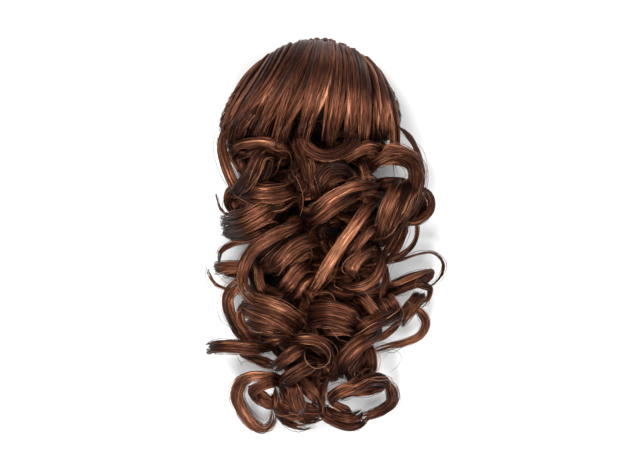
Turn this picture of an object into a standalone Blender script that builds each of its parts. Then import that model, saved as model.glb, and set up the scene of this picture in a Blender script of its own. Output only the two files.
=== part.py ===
"""Claw clip ponytail: a curled hairpiece that lies hair side up, with its claw clip under the crown.

+Y runs from the curled tips to the crown, +X to the right seen from above, +Z up from the surface.
The origin is the middle of the flat underside.
"""

import math

import bmesh
import bpy
import numpy as np

# Driving sizes of the hair, in metres
WIDTH = 0.200
LENGTH = 0.333
DEPTH = 0.075
CROWN_WALL = 0.0055
WEFT_LENGTH = 0.046
WEFT_DEPTH = 0.010

# Driving sizes of the clip, in metres
JAW_LENGTH = 0.072
JAW_RADIUS = 0.0155
JAW_WALL = 0.0024
TOOTH_COUNT = 6
TOOTH_ROOT = 0.0080
TOOTH_TIP = 0.0036
SPINE_LENGTH = 0.052
SPINE_RADIUS = 0.0040
TAB_WIDTH = 0.024
TAB_LENGTH = 0.015
TAB_WALL = 0.0026
TAB_LIFT = math.radians(16.0)
TAB_ROUNDING = 0.45
CLIP_SETBACK = 0.0445
CLIP_Y = LENGTH / 2.0 - CLIP_SETBACK

# Arcs of a jaw round its middle, in degrees: the plain shell, then the teeth, with a row at each step
SHELL_ARC = (80.0, -6.0)
SHELL_ROWS = 7
TOOTH_ARC = (-22.0, -96.0)
TOOTH_ROWS = 5

# Clearances
SEAT_GAP = 0.0003
CLIP_ROOM = 0.0025
CLIP_OFF_FLOOR = 0.0012

# Every table below counts in steps: WIDTH is 240 steps across, LENGTH 400 along, DEPTH 90 deep
STEPS_ACROSS = 240.0
STEPS_ALONG = 400.0
STEPS_DEEP = 90.0
STEP = np.array([WIDTH / STEPS_ACROSS, LENGTH / STEPS_ALONG, DEPTH / STEPS_DEEP])
LOCK_STEP = WIDTH / STEPS_ACROSS

# Shape of the lofts
ARCH_POINTS = 15
ARCH_FULLNESS = 0.75
STATION_STEP = 12.0
LOCK_SIDES = 6
BELOW_FLOOR = 12.0
HAIR_TRIANGLES = 9600
CHIP_VOLUME = 2e-9
SHARP_ANGLE = math.radians(50.0)

# Taper of a lock: shares of its length, and the share of its width there; the last is the lock's own
TAPER_PLACES = (0.0, 0.2, 0.65, 1.0)
TAPER_WIDTHS = (0.7, 1.0, 1.0)

# The backing that the locks are fused to: a row for each section
# y, left edge, right edge, crest of the backing, crest of the combed crown over it
BACKING = (
    (200, -12, 2, 8, 8),
    (197, -31, 12, 24, 24),
    (190, -45, 27, 39, 39),
    (180, -57, 36, 53, 53),
    (168, -67, 47, 62, 62),
    (155, -80, 58, 68, 68),
    (140, -92, 66, 71, 72),
    (128, -98, 69, 66, 74),
    (118, -101, 70, 54, 73),
    (108, -98, 66, 48, 70),
    (92, -88, 54, 47, 64),
    (70, -80, 44, 48, 60),
    (40, -74, 52, 50, 60),
    (0, -74, 56, 50, 60),
    (-40, -68, 50, 47, 55),
    (-75, -70, 56, 43, 50),
    (-105, -60, 40, 35, 45),
    (-128, -48, 30, 28, 40),
    (-146, -38, 14, 16, 35),
)
HOLLOW_BACK = 193.0
CROWN_FRONT = 122.0
HOLLOW_SECTIONS = 9

# Locks of the combed crown, from the roots to the ends: a row for each lock
# root x, root y, middle x, middle y, end x, end y, width, lift off the backing
CROWN_LOCKS = (
    (-58, 179, -83, 152, -103, 112, 13, 1),
    (-54, 183, -77, 152, -99, 111, 14, 3),
    (-50, 186, -69, 150, -91, 112, 14, 2),
    (-44, 189, -61, 150, -82, 114, 15, 4),
    (-38, 192, -54, 152, -71, 120, 15, 2),
    (-32, 194, -46, 156, -61, 122, 14, 4),
    (-25, 196, -38, 158, -49, 122, 14, 2),
    (-18, 197, -27, 158, -35, 116, 14, 4),
    (-12, 198, -18, 160, -26, 118, 13, 2),
    (-5, 198, -8, 160, -16, 120, 14, 4),
    (2, 197, 2, 160, -5, 118, 14, 2),
    (8, 196, 11, 160, 7, 116, 14, 3),
    (14, 194, 20, 160, 17, 114, 14, 2),
    (20, 191, 29, 160, 28, 112, 14, 4),
    (26, 188, 37, 158, 36, 112, 14, 5),
    (32, 184, 45, 155, 46, 118, 14, 2),
    (37, 179, 53, 152, 62, 112, 14, 4),
    (41, 175, 60, 146, 70, 100, 13, 2),
)
CROWN_THICKNESS = 6.0
CROWN_TIP = 0.7
END_RUN = 7.0
END_DROP = 30.0

# Curled locks: a row for each lock
# width, thickness, roll of its face in degrees, share of its width left at the tip, route
LEFT_LOCKS = (
    (12, 5, -30, 0.6, ((-101, 114, 36), (-105, 98, 34), (-102, 79, 30), (-95, 60, 32), (-85, 44, 42),
                       (-68, 36, 54), (-46, 37, 50))),
    (10, 5, 0, 0.7, ((-98, 80, 20), (-93, 90, 36), (-78, 95, 52), (-58, 95, 62), (-42, 90, 58),
                       (-31, 80, 42))),
    (9, 5, 0, 0.7, ((-92, 78, 22), (-80, 86, 40), (-62, 88, 52), (-46, 82, 46), (-38, 70, 34))),
    (14, 5, 0, 0.7, ((-54, 88, 48), (-66, 82, 64), (-71, 69, 68), (-79, 57, 60), (-88, 47, 44),
                       (-96, 40, 24))),
    (11, 5, 0, 0.7, ((-48, 84, 44), (-56, 75, 58), (-60, 64, 56), (-68, 54, 50), (-80, 44, 38))),
    (16, 6, 0, 0.7, ((-84, 46, 42), (-72, 44, 58), (-56, 43, 64), (-42, 45, 60), (-29, 52, 42))),
    (12, 5, 0, 0.7, ((-80, 34, 44), (-64, 31, 58), (-48, 32, 60), (-32, 40, 44))),
    (9, 5, -60, 0.7, ((-88, 54, 32), (-97, 47, 28), (-99, 34, 26), (-93, 26, 26), (-84, 32, 34))),
    (3, 3, 60, 0.3, ((-82, 33, 38), (-94, 23, 28), (-103, 26, 24), (-109, 37, 22), (-112, 50, 22))),
    (22, 6, 0, 0.8, ((-48, 32, 48), (-64, 24, 68), (-80, 15, 62), (-95, 11, 42), (-103, 10, 22),
                       (-92, 8, 8))),
    (9, 4, 0, 0.7, ((-50, 14, 48), (-67, 5, 62), (-84, 0, 48), (-97, 3, 28), (-102, 11, 16))),
    (12, 6, 0, 0.7, ((-20, 18, 46), (-34, 10, 62), (-50, 4, 70), (-66, -6, 66), (-77, -17, 58),
                       (-83, -32, 50), (-83, -48, 50), (-74, -62, 56), (-58, -72, 54))),
    (10, 5, 0, 0.7, ((-24, 6, 44), (-44, -4, 58), (-60, -16, 52), (-72, -32, 42), (-70, -50, 42),
                       (-54, -64, 42))),
    (8, 5, -40, 0.6, ((-60, 0, 46), (-78, -2, 44), (-94, -6, 34), (-106, -14, 22), (-108, -26, 10))),
    (13, 6, 0, 0.9, ((-66, -27, 34), (-84, -29, 38), (-100, -29, 32), (-111, -31, 18), (-104, -32, 6))),
    (7, 4, 0, 0.8, ((-72, -36, 24), (-90, -37, 26), (-108, -35, 14))),
    (4, 3, 60, 0.3, ((-78, -56, 34), (-97, -52, 26), (-111, -47, 20), (-119, -37, 16), (-120, -28, 14))),
    (7, 4, 0, 0.7, ((-71, -18, 46), (-67, -33, 58), (-64, -48, 58), (-52, -61, 44))),
    (13, 5, -30, 0.7, ((-78, -40, 40), (-92, -50, 32), (-99, -62, 24), (-97, -76, 22), (-90, -90, 24),
                       (-80, -104, 26), (-66, -112, 22))),
    (9, 4, -20, 0.7, ((-80, -62, 28), (-87, -80, 34), (-78, -96, 32), (-52, -104, 16))),
    (24, 7, 0, 0.8, ((-84, -66, 22), (-78, -67, 44), (-66, -70, 62), (-50, -75, 70), (-36, -83, 60),
                       (-26, -92, 38))),
    (10, 5, 0, 0.7, ((-80, -82, 26), (-70, -87, 44), (-56, -90, 50), (-40, -94, 40))),
    (7, 4, 0, 0.7, ((-68, -93, 34), (-54, -97, 48), (-40, -97, 46), (-28, -101, 34))),
)

CENTRE_LOCKS = (
    (12, 5, 20, 0.8, ((-20, 124, 52), (-24, 107, 64), (-20, 92, 68), (-8, 83, 70), (8, 82, 70),
                       (21, 89, 68), (29, 102, 62), (30, 118, 50))),
    (11, 5, 0, 0.7, ((-31, 114, 48), (-29, 95, 60), (-22, 75, 60), (-16, 55, 58), (-12, 36, 46))),
    (9, 5, 0, 0.7, ((-22, 90, 50), (-14, 72, 62), (-12, 54, 62), (-6, 38, 48))),
    (16, 6, 0, 0.7, ((28, 62, 46), (14, 69, 62), (1, 67, 70), (-7, 56, 66), (-8, 42, 48))),
    (14, 6, 0, 0.7, ((-10, 76, 48), (2, 64, 70), (8, 53, 70), (13, 40, 48))),
    (10, 5, 0, 0.7, ((56, 52, 40), (38, 53, 58), (20, 49, 68), (5, 41, 70), (-7, 31, 64), (-16, 18, 46))),
    (11, 5, 0, 0.7, ((38, 47, 44), (21, 40, 62), (6, 30, 70), (-8, 19, 64), (-22, 8, 42))),
    (9, 4, 0, 0.7, ((30, 82, 44), (38, 67, 52), (40, 54, 50), (34, 40, 38))),
    (10, 5, 0, 0.7, ((10, 74, 44), (27, 84, 62), (42, 90, 62), (58, 86, 42))),
    (11, 5, 0, 0.7, ((50, 38, 40), (38, 25, 60), (28, 11, 68), (17, -4, 70), (7, -19, 66), (-1, -32, 58),
                     (-10, -48, 50), (-24, -60, 38))),
    (9, 5, 0, 0.7, ((54, 20, 42), (42, 6, 60), (32, -6, 62), (24, -18, 54), (16, -30, 40))),
    (14, 6, 0, 0.8, ((-6, -6, 46), (-20, -4, 66), (-33, -10, 72), (-45, -22, 66), (-56, -34, 44))),
    (12, 5, 0, 0.7, ((-4, -14, 42), (-20, -14, 60), (-34, -24, 62), (-46, -36, 42))),
    (13, 6, 0, 0.8, ((-14, -24, 44), (-27, -32, 66), (-36, -43, 66), (-44, -56, 44))),
    (9, 5, 0, 0.7, ((-12, -34, 42), (-23, -45, 62), (-30, -55, 56), (-40, -63, 38))),
    (10, 5, 20, 0.7, ((57, -12, 42), (55, -29, 58), (47, -42, 64), (34, -49, 64), (20, -49, 56),
                       (6, -40, 40))),
    (12, 5, 0, 0.7, ((48, -8, 40), (35, -18, 60), (26, -28, 64), (28, -42, 48))),
    (8, 4, 0, 0.7, ((18, -12, 46), (22, -24, 58), (32, -34, 46))),
    (9, 4, 0, 0.7, ((26, -56, 38), (38, -62, 56), (46, -71, 58), (51, -86, 38))),
    (22, 7, 0, 0.8, ((-20, -82, 28), (-10, -78, 54), (6, -76, 68), (21, -81, 62), (34, -90, 36))),
    (8, 4, 0, 0.7, ((-12, -59, 40), (4, -64, 58), (17, -71, 64), (32, -82, 44))),
    (10, 5, 0, 0.7, ((-12, -92, 28), (4, -92, 50), (20, -92, 50), (36, -98, 30))),
    (8, 4, 0, 0.7, ((0, -42, 42), (10, -54, 52), (24, -56, 50), (36, -48, 38))),
)

RIGHT_LOCKS = (
    (16, 6, 0, 0.7, ((42, 66, 38), (54, 78, 58), (70, 84, 60), (84, 79, 52), (91, 66, 42), (89, 48, 40),
                       (80, 28, 42), (68, 8, 42), (56, -12, 34))),
    (9, 4, 20, 0.7, ((48, 82, 38), (62, 90, 48), (78, 87, 44), (90, 77, 34), (94, 62, 28), (88, 46, 26))),
    (12, 6, 0, 0.7, ((78, 60, 34), (68, 45, 56), (60, 28, 62), (55, 12, 58), (50, -6, 40))),
    (12, 6, 0, 0.7, ((84, 60, 36), (76, 44, 54), (69, 27, 60), (63, 11, 56), (57, -8, 38))),
    (9, 5, 0, 0.7, ((90, 56, 34), (84, 41, 46), (78, 27, 48), (68, 12, 38))),
    (5, 3, 50, 0.6, ((70, 112, 38), (84, 101, 34), (92, 87, 30), (96, 71, 28), (93, 55, 26), (84, 46, 28))),
    (7, 4, 40, 0.7, ((86, 50, 30), (99, 48, 32), (106, 38, 30), (105, 27, 28), (96, 19, 28),
                       (82, 15, 32), (68, 18, 34))),
    (14, 5, 0, 0.8, ((54, 44, 22), (84, 46, 22), (96, 33, 20), (82, 20, 22), (52, 24, 20))),
    (5, 4, 40, 0.6, ((86, 24, 28), (92, 10, 26), (89, -4, 24), (78, -16, 26), (60, -24, 34))),
    (16, 5, 0, 0.8, ((80, 22, 26), (74, 4, 24), (64, -14, 26), (52, -28, 30))),
    (3.5, 3, 90, 0.8, ((52, -28, 34), (76, -22, 30), (94, -17, 24), (109, -16, 18), (118, -26, 14),
                       (114, -40, 12), (100, -54, 14))),
    (7, 4, 20, 0.7, ((52, -50, 32), (74, -44, 36), (92, -37, 32), (104, -33, 24), (105, -39, 16),
                       (93, -45, 22), (76, -53, 30), (54, -64, 30))),
    (4, 3, 50, 0.5, ((82, -50, 26), (98, -49, 20), (106, -52, 16), (104, -61, 14), (90, -74, 18))),
    (14, 4, -15, 0.8, ((99, -55, 14), (90, -64, 28), (82, -75, 30), (73, -88, 20))),
    (9, 4, 30, 0.7, ((80, -66, 28), (95, -74, 26), (101, -86, 20), (96, -98, 16), (82, -105, 16),
                       (66, -109, 18), (44, -116, 20))),
    (6, 4, 0, 0.7, ((78, -80, 24), (69, -91, 20), (58, -100, 18), (40, -106, 20))),
    (15, 6, 0, 0.8, ((76, -72, 34), (61, -79, 52), (48, -84, 58), (37, -90, 54), (29, -101, 34))),
    (12, 5, 0, 0.8, ((52, -56, 36), (64, -64, 46), (70, -76, 40), (66, -88, 24))),
    (10, 5, 0, 0.7, ((46, -60, 38), (57, -71, 50), (64, -83, 38))),
    (8, 4, 0, 0.7, ((56, -24, 38), (60, -42, 46), (56, -56, 44), (62, -66, 34))),
)

TIP_LOCKS = (
    (13, 6, 0, 0.9, ((-52, -112, 26), (-74, -111, 42), (-95, -109, 38), (-112, -110, 26), (-119, -112, 12),
                     (-108, -113, 6))),
    (9, 5, 0, 0.7, ((-88, -115, 14), (-76, -120, 28), (-63, -125, 32), (-46, -130, 24))),
    (16, 6, 0, 0.5, ((-44, -142, 20), (-58, -138, 42), (-74, -138, 44), (-86, -146, 34), (-90, -159, 26),
                     (-84, -173, 18), (-74, -187, 12), (-63, -195, 8), (-57, -190, 8), (-54, -176, 12),
                     (-46, -160, 16))),
    (11, 5, 0, 0.7, ((-42, -146, 24), (-60, -146, 46), (-73, -154, 40), (-68, -165, 26), (-54, -171, 18))),
    (12, 5, 0, 0.8, ((-16, -108, 32), (-33, -115, 54), (-43, -123, 50), (-52, -135, 28))),
    (14, 5, 0, 0.8, ((-6, -126, 28), (-24, -131, 52), (-36, -139, 48), (-50, -150, 26))),
    (9, 4, 0, 0.8, ((-46, -107, 32), (-28, -102, 48), (-11, -102, 52), (1, -110, 48), (4, -122, 40),
                       (-4, -133, 28))),
    (10, 4, 0, 0.8, ((-22, -118, 28), (-10, -126, 34), (6, -124, 26))),
    (8, 5, 0, 0.7, ((-50, -148, 28), (-50, -166, 28), (-46, -181, 16), (-35, -190, 8), (-20, -192, 8),
                    (-10, -188, 8))),
    (14, 5, 0, 0.8, ((-34, -138, 24), (-31, -154, 44), (-27, -168, 38), (-19, -181, 18))),
    (6, 3, 0, 0.7, ((-58, -160, 22), (-40, -172, 28), (-25, -180, 24), (-2, -184, 12))),
    (6, 4, 0, 0.7, ((2, -140, 26), (-3, -156, 26), (-4, -170, 20), (0, -186, 12))),
    (14, 6, 0, 0.7, ((56, -93, 30), (45, -99, 48), (33, -106, 54), (23, -115, 50), (16, -128, 40),
                       (20, -146, 22))),
    (9, 4, 0, 0.7, ((36, -106, 36), (30, -120, 42), (24, -134, 36), (28, -152, 22))),
    (10, 4, 0, 0.7, ((28, -100, 14), (45, -116, 28), (46, -132, 24), (26, -148, 12))),
    (12, 5, 0, 0.8, ((12, -152, 26), (30, -149, 44), (47, -142, 38), (60, -145, 26), (66, -154, 14))),
    (12, 5, 0, 0.8, ((46, -146, 24), (29, -149, 42), (15, -153, 48), (6, -160, 38), (6, -168, 20))),
    (12, 5, 20, 0.7, ((56, -144, 22), (66, -154, 18), (67, -166, 14), (58, -174, 12), (44, -180, 12),
                       (32, -184, 12))),
    (8, 4, 0, 0.7, ((62, -150, 20), (44, -155, 28), (27, -157, 26), (14, -166, 18))),
    (12, 5, 0, 0.8, ((-8, -174, 12), (7, -184, 18), (20, -189, 18), (33, -188, 14), (43, -179, 12))),
    (9, 4, 0, 0.8, ((0, -172, 12), (13, -180, 22), (26, -182, 24), (38, -176, 14))),
    (8, 4, 0, 0.7, ((2, -156, 20), (9, -167, 24), (21, -175, 20), (28, -184, 14))),
)

# Under-curls that round off the sides, hung on the backing's edge: a row for each side
# side, first y, last y, number, width, reach past the edge
UNDER_CURLS = (
    (-1, 96, -104, 12, 15, 4),
    (1, 92, -92, 11, 15, 3),
)
UNDER_THICKNESS = 5.0
UNDER_TIP = 0.8
UNDER_LEAN = 9.0

# Route of an under-curl: steps in from its furthest reach, share of its lean, share of the crest
UNDER_ROUTE = (
    (30, 1.0, 0.80),
    (12, 0.5, 0.82),
    (0, 0.0, 0.50),
    (1, -0.5, 0.20),
    (16, -1.0, 0.05),
)

# Colours as linear red, green and blue
HAIR_COLOUR = (0.060, 0.024, 0.014, 1.0)
CLIP_COLOUR = (0.035, 0.018, 0.012, 1.0)


def interpolate_rows(rows, column, where):
    """Read one column of a table at any place, on smooth cubic pieces between its rows."""
    table = np.array(rows, float)
    order = np.argsort(table[:, 0])
    knots = table[order, 0]
    return hermite(knots, table[order, column][:, None], where)[:, 0]


def hermite(knots, values, where):
    """Cubic pieces through the values, whose slopes come from the neighbouring knots."""
    slopes = np.gradient(values, knots, axis=0)
    where = np.clip(np.atleast_1d(where), knots[0], knots[-1])
    i = np.clip(np.searchsorted(knots, where, side="right") - 1, 0, len(knots) - 2)
    span = (knots[i + 1] - knots[i])[:, None]
    u = (where - knots[i])[:, None] / span
    rise = u * u * (3.0 - 2.0 * u)
    ends = values[i] * (1.0 - rise) + values[i + 1] * rise
    return ends + span * (slopes[i] * u * (1.0 - u) ** 2 - slopes[i + 1] * u * u * (1.0 - u))


def crown_height(x, y):
    """Height of the combed crown over a point, in steps: an arch across each section."""
    left = interpolate_rows(BACKING, 1, y)
    right = interpolate_rows(BACKING, 2, y)
    crest = interpolate_rows(BACKING, 4, y)
    off_centre = (2.0 * x - left - right) / (right - left)
    return crest * (1.0 - np.clip(np.abs(off_centre), 0.0, 0.97) ** 2) ** (ARCH_FULLNESS / 2.0)


def smooth_path(route):
    """Stations at even spacing on a smooth curve through the points of a route, in steps."""
    route = np.array(route, float)
    knots = np.concatenate(([0.0], np.cumsum(np.linalg.norm(np.diff(route, axis=0), axis=1))))
    fine = hermite(knots, route, np.linspace(0.0, knots[-1], 16 * len(route)))
    run = np.concatenate(([0.0], np.cumsum(np.linalg.norm(np.diff(fine, axis=0), axis=1))))
    stations = max(4, round(run[-1] / STATION_STEP) + 1)
    even = np.linspace(0.0, run[-1], stations)
    return np.column_stack([np.interp(even, run, fine[:, axis]) for axis in range(3)])


def carried_sides(path, roll):
    """Width and thickness directions of a lock, carried along its path from its middle station."""
    tangents = np.gradient(path, axis=0)
    tangents /= np.linalg.norm(tangents, axis=1)[:, None]
    middle = len(path) // 2
    across = np.zeros_like(path)
    level = np.cross(tangents[middle], (0.0, 0.0, 1.0))
    across[middle] = level / np.linalg.norm(level)
    for here in range(middle + 1, len(path)):
        across[here] = carry(across[here - 1], tangents[here])
    for here in range(middle - 1, -1, -1):
        across[here] = carry(across[here + 1], tangents[here])
    outward = np.cross(across, tangents)
    turn = math.radians(roll)
    leaning = across * math.cos(turn) + outward * math.sin(turn)
    facing = outward * math.cos(turn) - across * math.sin(turn)
    return leaning, facing


def carry(side, tangent):
    """Turn a side direction as little as possible so that it stands square to a tangent."""
    side = side - tangent * side.dot(tangent)
    return side / np.linalg.norm(side)


def lock_mesh(name, route, width, thickness, roll, tip):
    """Closed flat lock: a six-sided lens carried along its route, narrower at both ends."""
    path = smooth_path(route)
    across, outward = carried_sides(path, roll)
    along = np.linspace(0.0, 1.0, len(path))
    taper = np.interp(along, TAPER_PLACES, TAPER_WIDTHS + (tip,))[:, None, None]
    turn = np.arange(LOCK_SIDES) * 2.0 * math.pi / LOCK_SIDES
    lens = (across[:, None, :] * np.cos(turn)[None, :, None] * width / 2.0
            + outward[:, None, :] * np.sin(turn)[None, :, None] * thickness / 2.0)
    rings = path[:, None, :] * STEP + lens * taper * LOCK_STEP
    return ring_mesh(name, rings)


def ring_mesh(name, rings):
    """Closed loft through rings of points that all have the same count."""
    stations, sides = rings.shape[:2]
    mesh = bpy.data.meshes.new(name)
    bm = bmesh.new()
    verts = [[bm.verts.new(point) for point in ring] for ring in rings]
    for a in range(stations - 1):
        for b in range(sides):
            c = (b + 1) % sides
            bm.faces.new((verts[a][b], verts[a][c], verts[a + 1][c], verts[a + 1][b]))
    bm.faces.new(verts[0][::-1])
    bm.faces.new(verts[-1])
    bmesh.ops.recalc_face_normals(bm, faces=bm.faces)
    bm.to_mesh(mesh)
    bm.free()
    return mesh


def arch_mesh(name, places, inset, drop):
    """Closed loft of arched sections along Y, each set in by a wall and standing through the floor."""
    left = interpolate_rows(BACKING, 1, places) * STEP[0] + inset
    right = interpolate_rows(BACKING, 2, places) * STEP[0] - inset
    crest = interpolate_rows(BACKING, 3, places) * STEP[2] - inset
    turn = np.linspace(0.0, math.pi, ARCH_POINTS)
    x = (left + right)[:, None] / 2.0 - (right - left)[:, None] / 2.0 * np.cos(turn)
    z = crest[:, None] * np.sin(turn) ** ARCH_FULLNESS
    y = np.broadcast_to(np.array(places)[:, None] * STEP[1], x.shape)
    arch = np.stack([x, y, z], axis=-1)
    feet = arch[:, [-1, 0]].copy()
    feet[:, :, 2] = -drop
    return ring_mesh(name, np.concatenate([arch, feet], axis=1))


def crown_route(row):
    """Route of a crown lock: over the arch of the crown, then down into the cavity at its end."""
    root = np.array(row[0:2], float)
    middle = np.array(row[2:4], float)
    end = np.array(row[4:6], float)
    t = np.linspace(0.0, 1.0, 5)[:, None]
    bow = 2.0 * middle - (root + end) / 2.0
    plan = root * (1.0 - t) ** 2 + bow * 2.0 * t * (1.0 - t) + end * t * t
    top = crown_height(plan[:, 0], plan[:, 1]) + row[7]
    run = plan[-1] - plan[-2]
    last = plan[-1] + run / np.linalg.norm(run) * END_RUN
    return np.vstack([np.column_stack([plan, top]), np.append(last, top[-1] - END_DROP)])


def under_curl_routes():
    """Routes of the under-curls: from the backing's shoulder out over its edge and back in below."""
    for side, first, last, count, width, reach in UNDER_CURLS:
        edge_column = 1 if side < 0 else 2
        for number, y in enumerate(np.linspace(first, last, count)):
            edge = interpolate_rows(BACKING, edge_column, y)[0]
            crest = interpolate_rows(BACKING, 3, y)[0]
            lean = UNDER_LEAN * (1 if number % 2 else -1)
            yield width, [(edge + side * (reach - inward), y + lean * share, crest * height)
                          for inward, share, height in UNDER_ROUTE]


def new_object(name, mesh, collection, hidden=False):
    """Put a mesh into a collection as an object, drawn as wire and not rendered if it is a helper."""
    obj = bpy.data.objects.new(name, mesh)
    collection.objects.link(obj)
    if hidden:
        obj.hide_render = True
        obj.display_type = "WIRE"
    return obj


def boolean(obj, operation, operand):
    """Add an exact Boolean with an object, or with every object of a collection."""
    modifier = obj.modifiers.new(operation.title(), "BOOLEAN")
    modifier.operation = operation
    modifier.solver = "EXACT"
    if isinstance(operand, bpy.types.Collection):
        modifier.operand_type = "COLLECTION"
        modifier.collection = operand
    else:
        modifier.object = operand


def box_mesh(name, low, high):
    """Box between two corners."""
    low, high = np.array(low), np.array(high)
    mesh = bpy.data.meshes.new(name)
    bm = bmesh.new()
    bmesh.ops.create_cube(bm, size=1.0)
    bmesh.ops.scale(bm, vec=high - low, verts=bm.verts)
    bmesh.ops.translate(bm, vec=(low + high) / 2.0, verts=bm.verts)
    bm.to_mesh(mesh)
    bm.free()
    return mesh


def apply_modifiers(obj):
    """Swap an object's mesh for what its modifiers make of it."""
    shown = obj.evaluated_get(bpy.context.evaluated_depsgraph_get())
    mesh = bpy.data.meshes.new_from_object(shown)
    obj.modifiers.clear()
    obj.data = mesh


def fill_sealed_pockets(mesh):
    """Delete the inner skins of air pockets that fused locks close off, and chips that cuts leave."""
    bm = bmesh.new()
    bm.from_mesh(mesh)
    left = set(bm.faces)
    while left:
        skin = {left.pop()}
        edge_of_skin = list(skin)
        while edge_of_skin:
            face = edge_of_skin.pop()
            for edge in face.edges:
                for other in edge.link_faces:
                    if other in left:
                        left.remove(other)
                        skin.add(other)
                        edge_of_skin.append(other)
        volume = sum(face.calc_center_median().dot(face.normal) * face.calc_area() for face in skin) / 3.0
        if volume < CHIP_VOLUME:
            bmesh.ops.delete(bm, geom=list(skin), context="FACES")
    bm.to_mesh(mesh)
    bm.free()


def triangulate_closed(mesh):
    """Cut faces into triangles, with a new point on each diagonal that two faces would share."""
    bm = bmesh.new()
    bm.from_mesh(mesh)
    bmesh.ops.triangulate(bm, faces=bm.faces)
    for edge in [edge for edge in bm.edges if len(edge.link_faces) == 4]:
        first = edge.link_loops[0]
        partners = [loop for loop in edge.link_loops if loop.vert is not first.vert]
        partner = max(partners, key=lambda loop: loop.face.normal.dot(first.face.normal))
        middle = bm.verts.new((edge.verts[0].co + edge.verts[1].co) / 2.0)
        for loop in (first, partner):
            start, end, tip = loop.vert, loop.link_loop_next.vert, loop.link_loop_prev.vert
            bm.faces.new((start, middle, tip))
            bm.faces.new((middle, end, tip))
            bm.faces.remove(loop.face)
    bmesh.ops.recalc_face_normals(bm, faces=bm.faces)
    bm.to_mesh(mesh)
    bm.free()


def thin_out(skin):
    """Merge the fused hair's small faces until it is left with its number of triangles."""
    triangulate_closed(skin.data)
    fewer = skin.modifiers.new("Fewer", "DECIMATE")
    fewer.ratio = min(1.0, HAIR_TRIANGLES / len(skin.data.polygons))
    apply_modifiers(skin)


def clip_sizes():
    """Places on the clip that its own pieces and the hair over it share."""
    jaw_centre = CLIP_OFF_FLOOR + JAW_RADIUS + JAW_WALL / 2.0
    spine_z = jaw_centre + JAW_RADIUS + SPINE_RADIUS * 0.3
    return jaw_centre, spine_z, spine_z + SPINE_RADIUS


def jaw_mesh(name, side, centre, teeth):
    """Open surface of one jaw: an arc of shell that ends in a comb of tapered teeth."""
    pitch = JAW_LENGTH / TOOTH_COUNT
    shell_arc, tooth_arc = np.linspace(*SHELL_ARC, SHELL_ROWS), np.linspace(*TOOTH_ARC, TOOTH_ROWS)
    arc = np.radians(np.concatenate([shell_arc, tooth_arc]))
    mesh = bpy.data.meshes.new(name)
    bm = bmesh.new()
    rows = []
    for step, angle in enumerate(arc):
        share = max(0, step + 1 - SHELL_ROWS) / TOOTH_ROWS
        tooth = TOOTH_ROOT + (TOOTH_TIP - TOOTH_ROOT) * share
        row = []
        for number in range(teeth):
            middle = (number - (teeth - 1) / 2.0) * pitch
            for offset in (-tooth / 2.0, tooth / 2.0):
                row.append(bm.verts.new((
                    middle + offset,
                    side * JAW_RADIUS * math.cos(angle),
                    centre + JAW_RADIUS * math.sin(angle))))
        rows.append(row)
    for step in range(len(arc) - 1):
        solid_shell = step + 1 < SHELL_ROWS
        for column in range(2 * teeth - 1):
            if solid_shell or column % 2 == 0:
                bm.faces.new((rows[step][column], rows[step][column + 1],
                              rows[step + 1][column + 1], rows[step + 1][column]))
    bm.to_mesh(mesh)
    bm.free()
    return mesh


def tab_mesh(name, side, spine_z):
    """Finger tab: a rounded plate that leans up and out from the spine."""
    half_width, half_wall = TAB_WIDTH / 2.0, TAB_WALL / 2.0
    mesh = box_mesh(name, (-half_width, 0.0, -half_wall), (half_width, TAB_LENGTH, half_wall))
    bm = bmesh.new()
    bm.from_mesh(mesh)
    upright = [edge for edge in bm.edges if abs(edge.verts[0].co.z - edge.verts[1].co.z) > half_wall]
    outer = [edge for edge in upright if edge.verts[0].co.y > TAB_LENGTH / 2.0]
    bmesh.ops.bevel(bm, geom=outer, offset=TAB_LENGTH * TAB_ROUNDING, segments=4, affect="EDGES", profile=0.5)
    for vert in bm.verts:
        x, y, z = vert.co
        vert.co = (x, side * (y * math.cos(TAB_LIFT) - z * math.sin(TAB_LIFT)),
                   spine_z + y * math.sin(TAB_LIFT) + z * math.cos(TAB_LIFT))
    bmesh.ops.recalc_face_normals(bm, faces=bm.faces)
    bm.to_mesh(mesh)
    bm.free()
    return mesh


def build_clip(parts, helpers):
    """The claw clip in one piece: spine, two jaws whose teeth cross, and two finger tabs."""
    jaw_centre, spine_z, _ = clip_sizes()
    centre_x = clip_centre_x()
    mesh = bpy.data.meshes.new("claw_clip")
    bm = bmesh.new()
    bmesh.ops.create_cone(bm, cap_ends=True, segments=16, radius1=SPINE_RADIUS, radius2=SPINE_RADIUS,
                          depth=SPINE_LENGTH)
    for vert in bm.verts:
        vert.co = (vert.co.z, vert.co.y, spine_z - vert.co.x)
    bm.to_mesh(mesh)
    bm.free()
    clip = new_object("claw_clip", mesh, parts)
    for side, teeth in ((1, TOOTH_COUNT), (-1, TOOTH_COUNT - 1)):
        jaw = new_object("jaw_shell", jaw_mesh("jaw_shell", side, jaw_centre, teeth), helpers, hidden=True)
        shell = jaw.modifiers.new("Wall", "SOLIDIFY")
        shell.thickness = JAW_WALL
        shell.offset = 0.0
        apply_modifiers(jaw)
        close_and_face_out(jaw.data)
        boolean(clip, "UNION", jaw)
        tab = new_object("finger_tab", tab_mesh("finger_tab", side, spine_z), helpers, hidden=True)
        boolean(clip, "UNION", tab)
    apply_modifiers(clip)
    clip.location = (centre_x, CLIP_Y, 0.0)
    finish(clip, "clip plastic", CLIP_COLOUR, 0.32, 0.0)


def close_and_face_out(mesh):
    """Point every face of a closed mesh outwards."""
    bm = bmesh.new()
    bm.from_mesh(mesh)
    bmesh.ops.recalc_face_normals(bm, faces=bm.faces)
    bm.to_mesh(mesh)
    bm.free()


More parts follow.
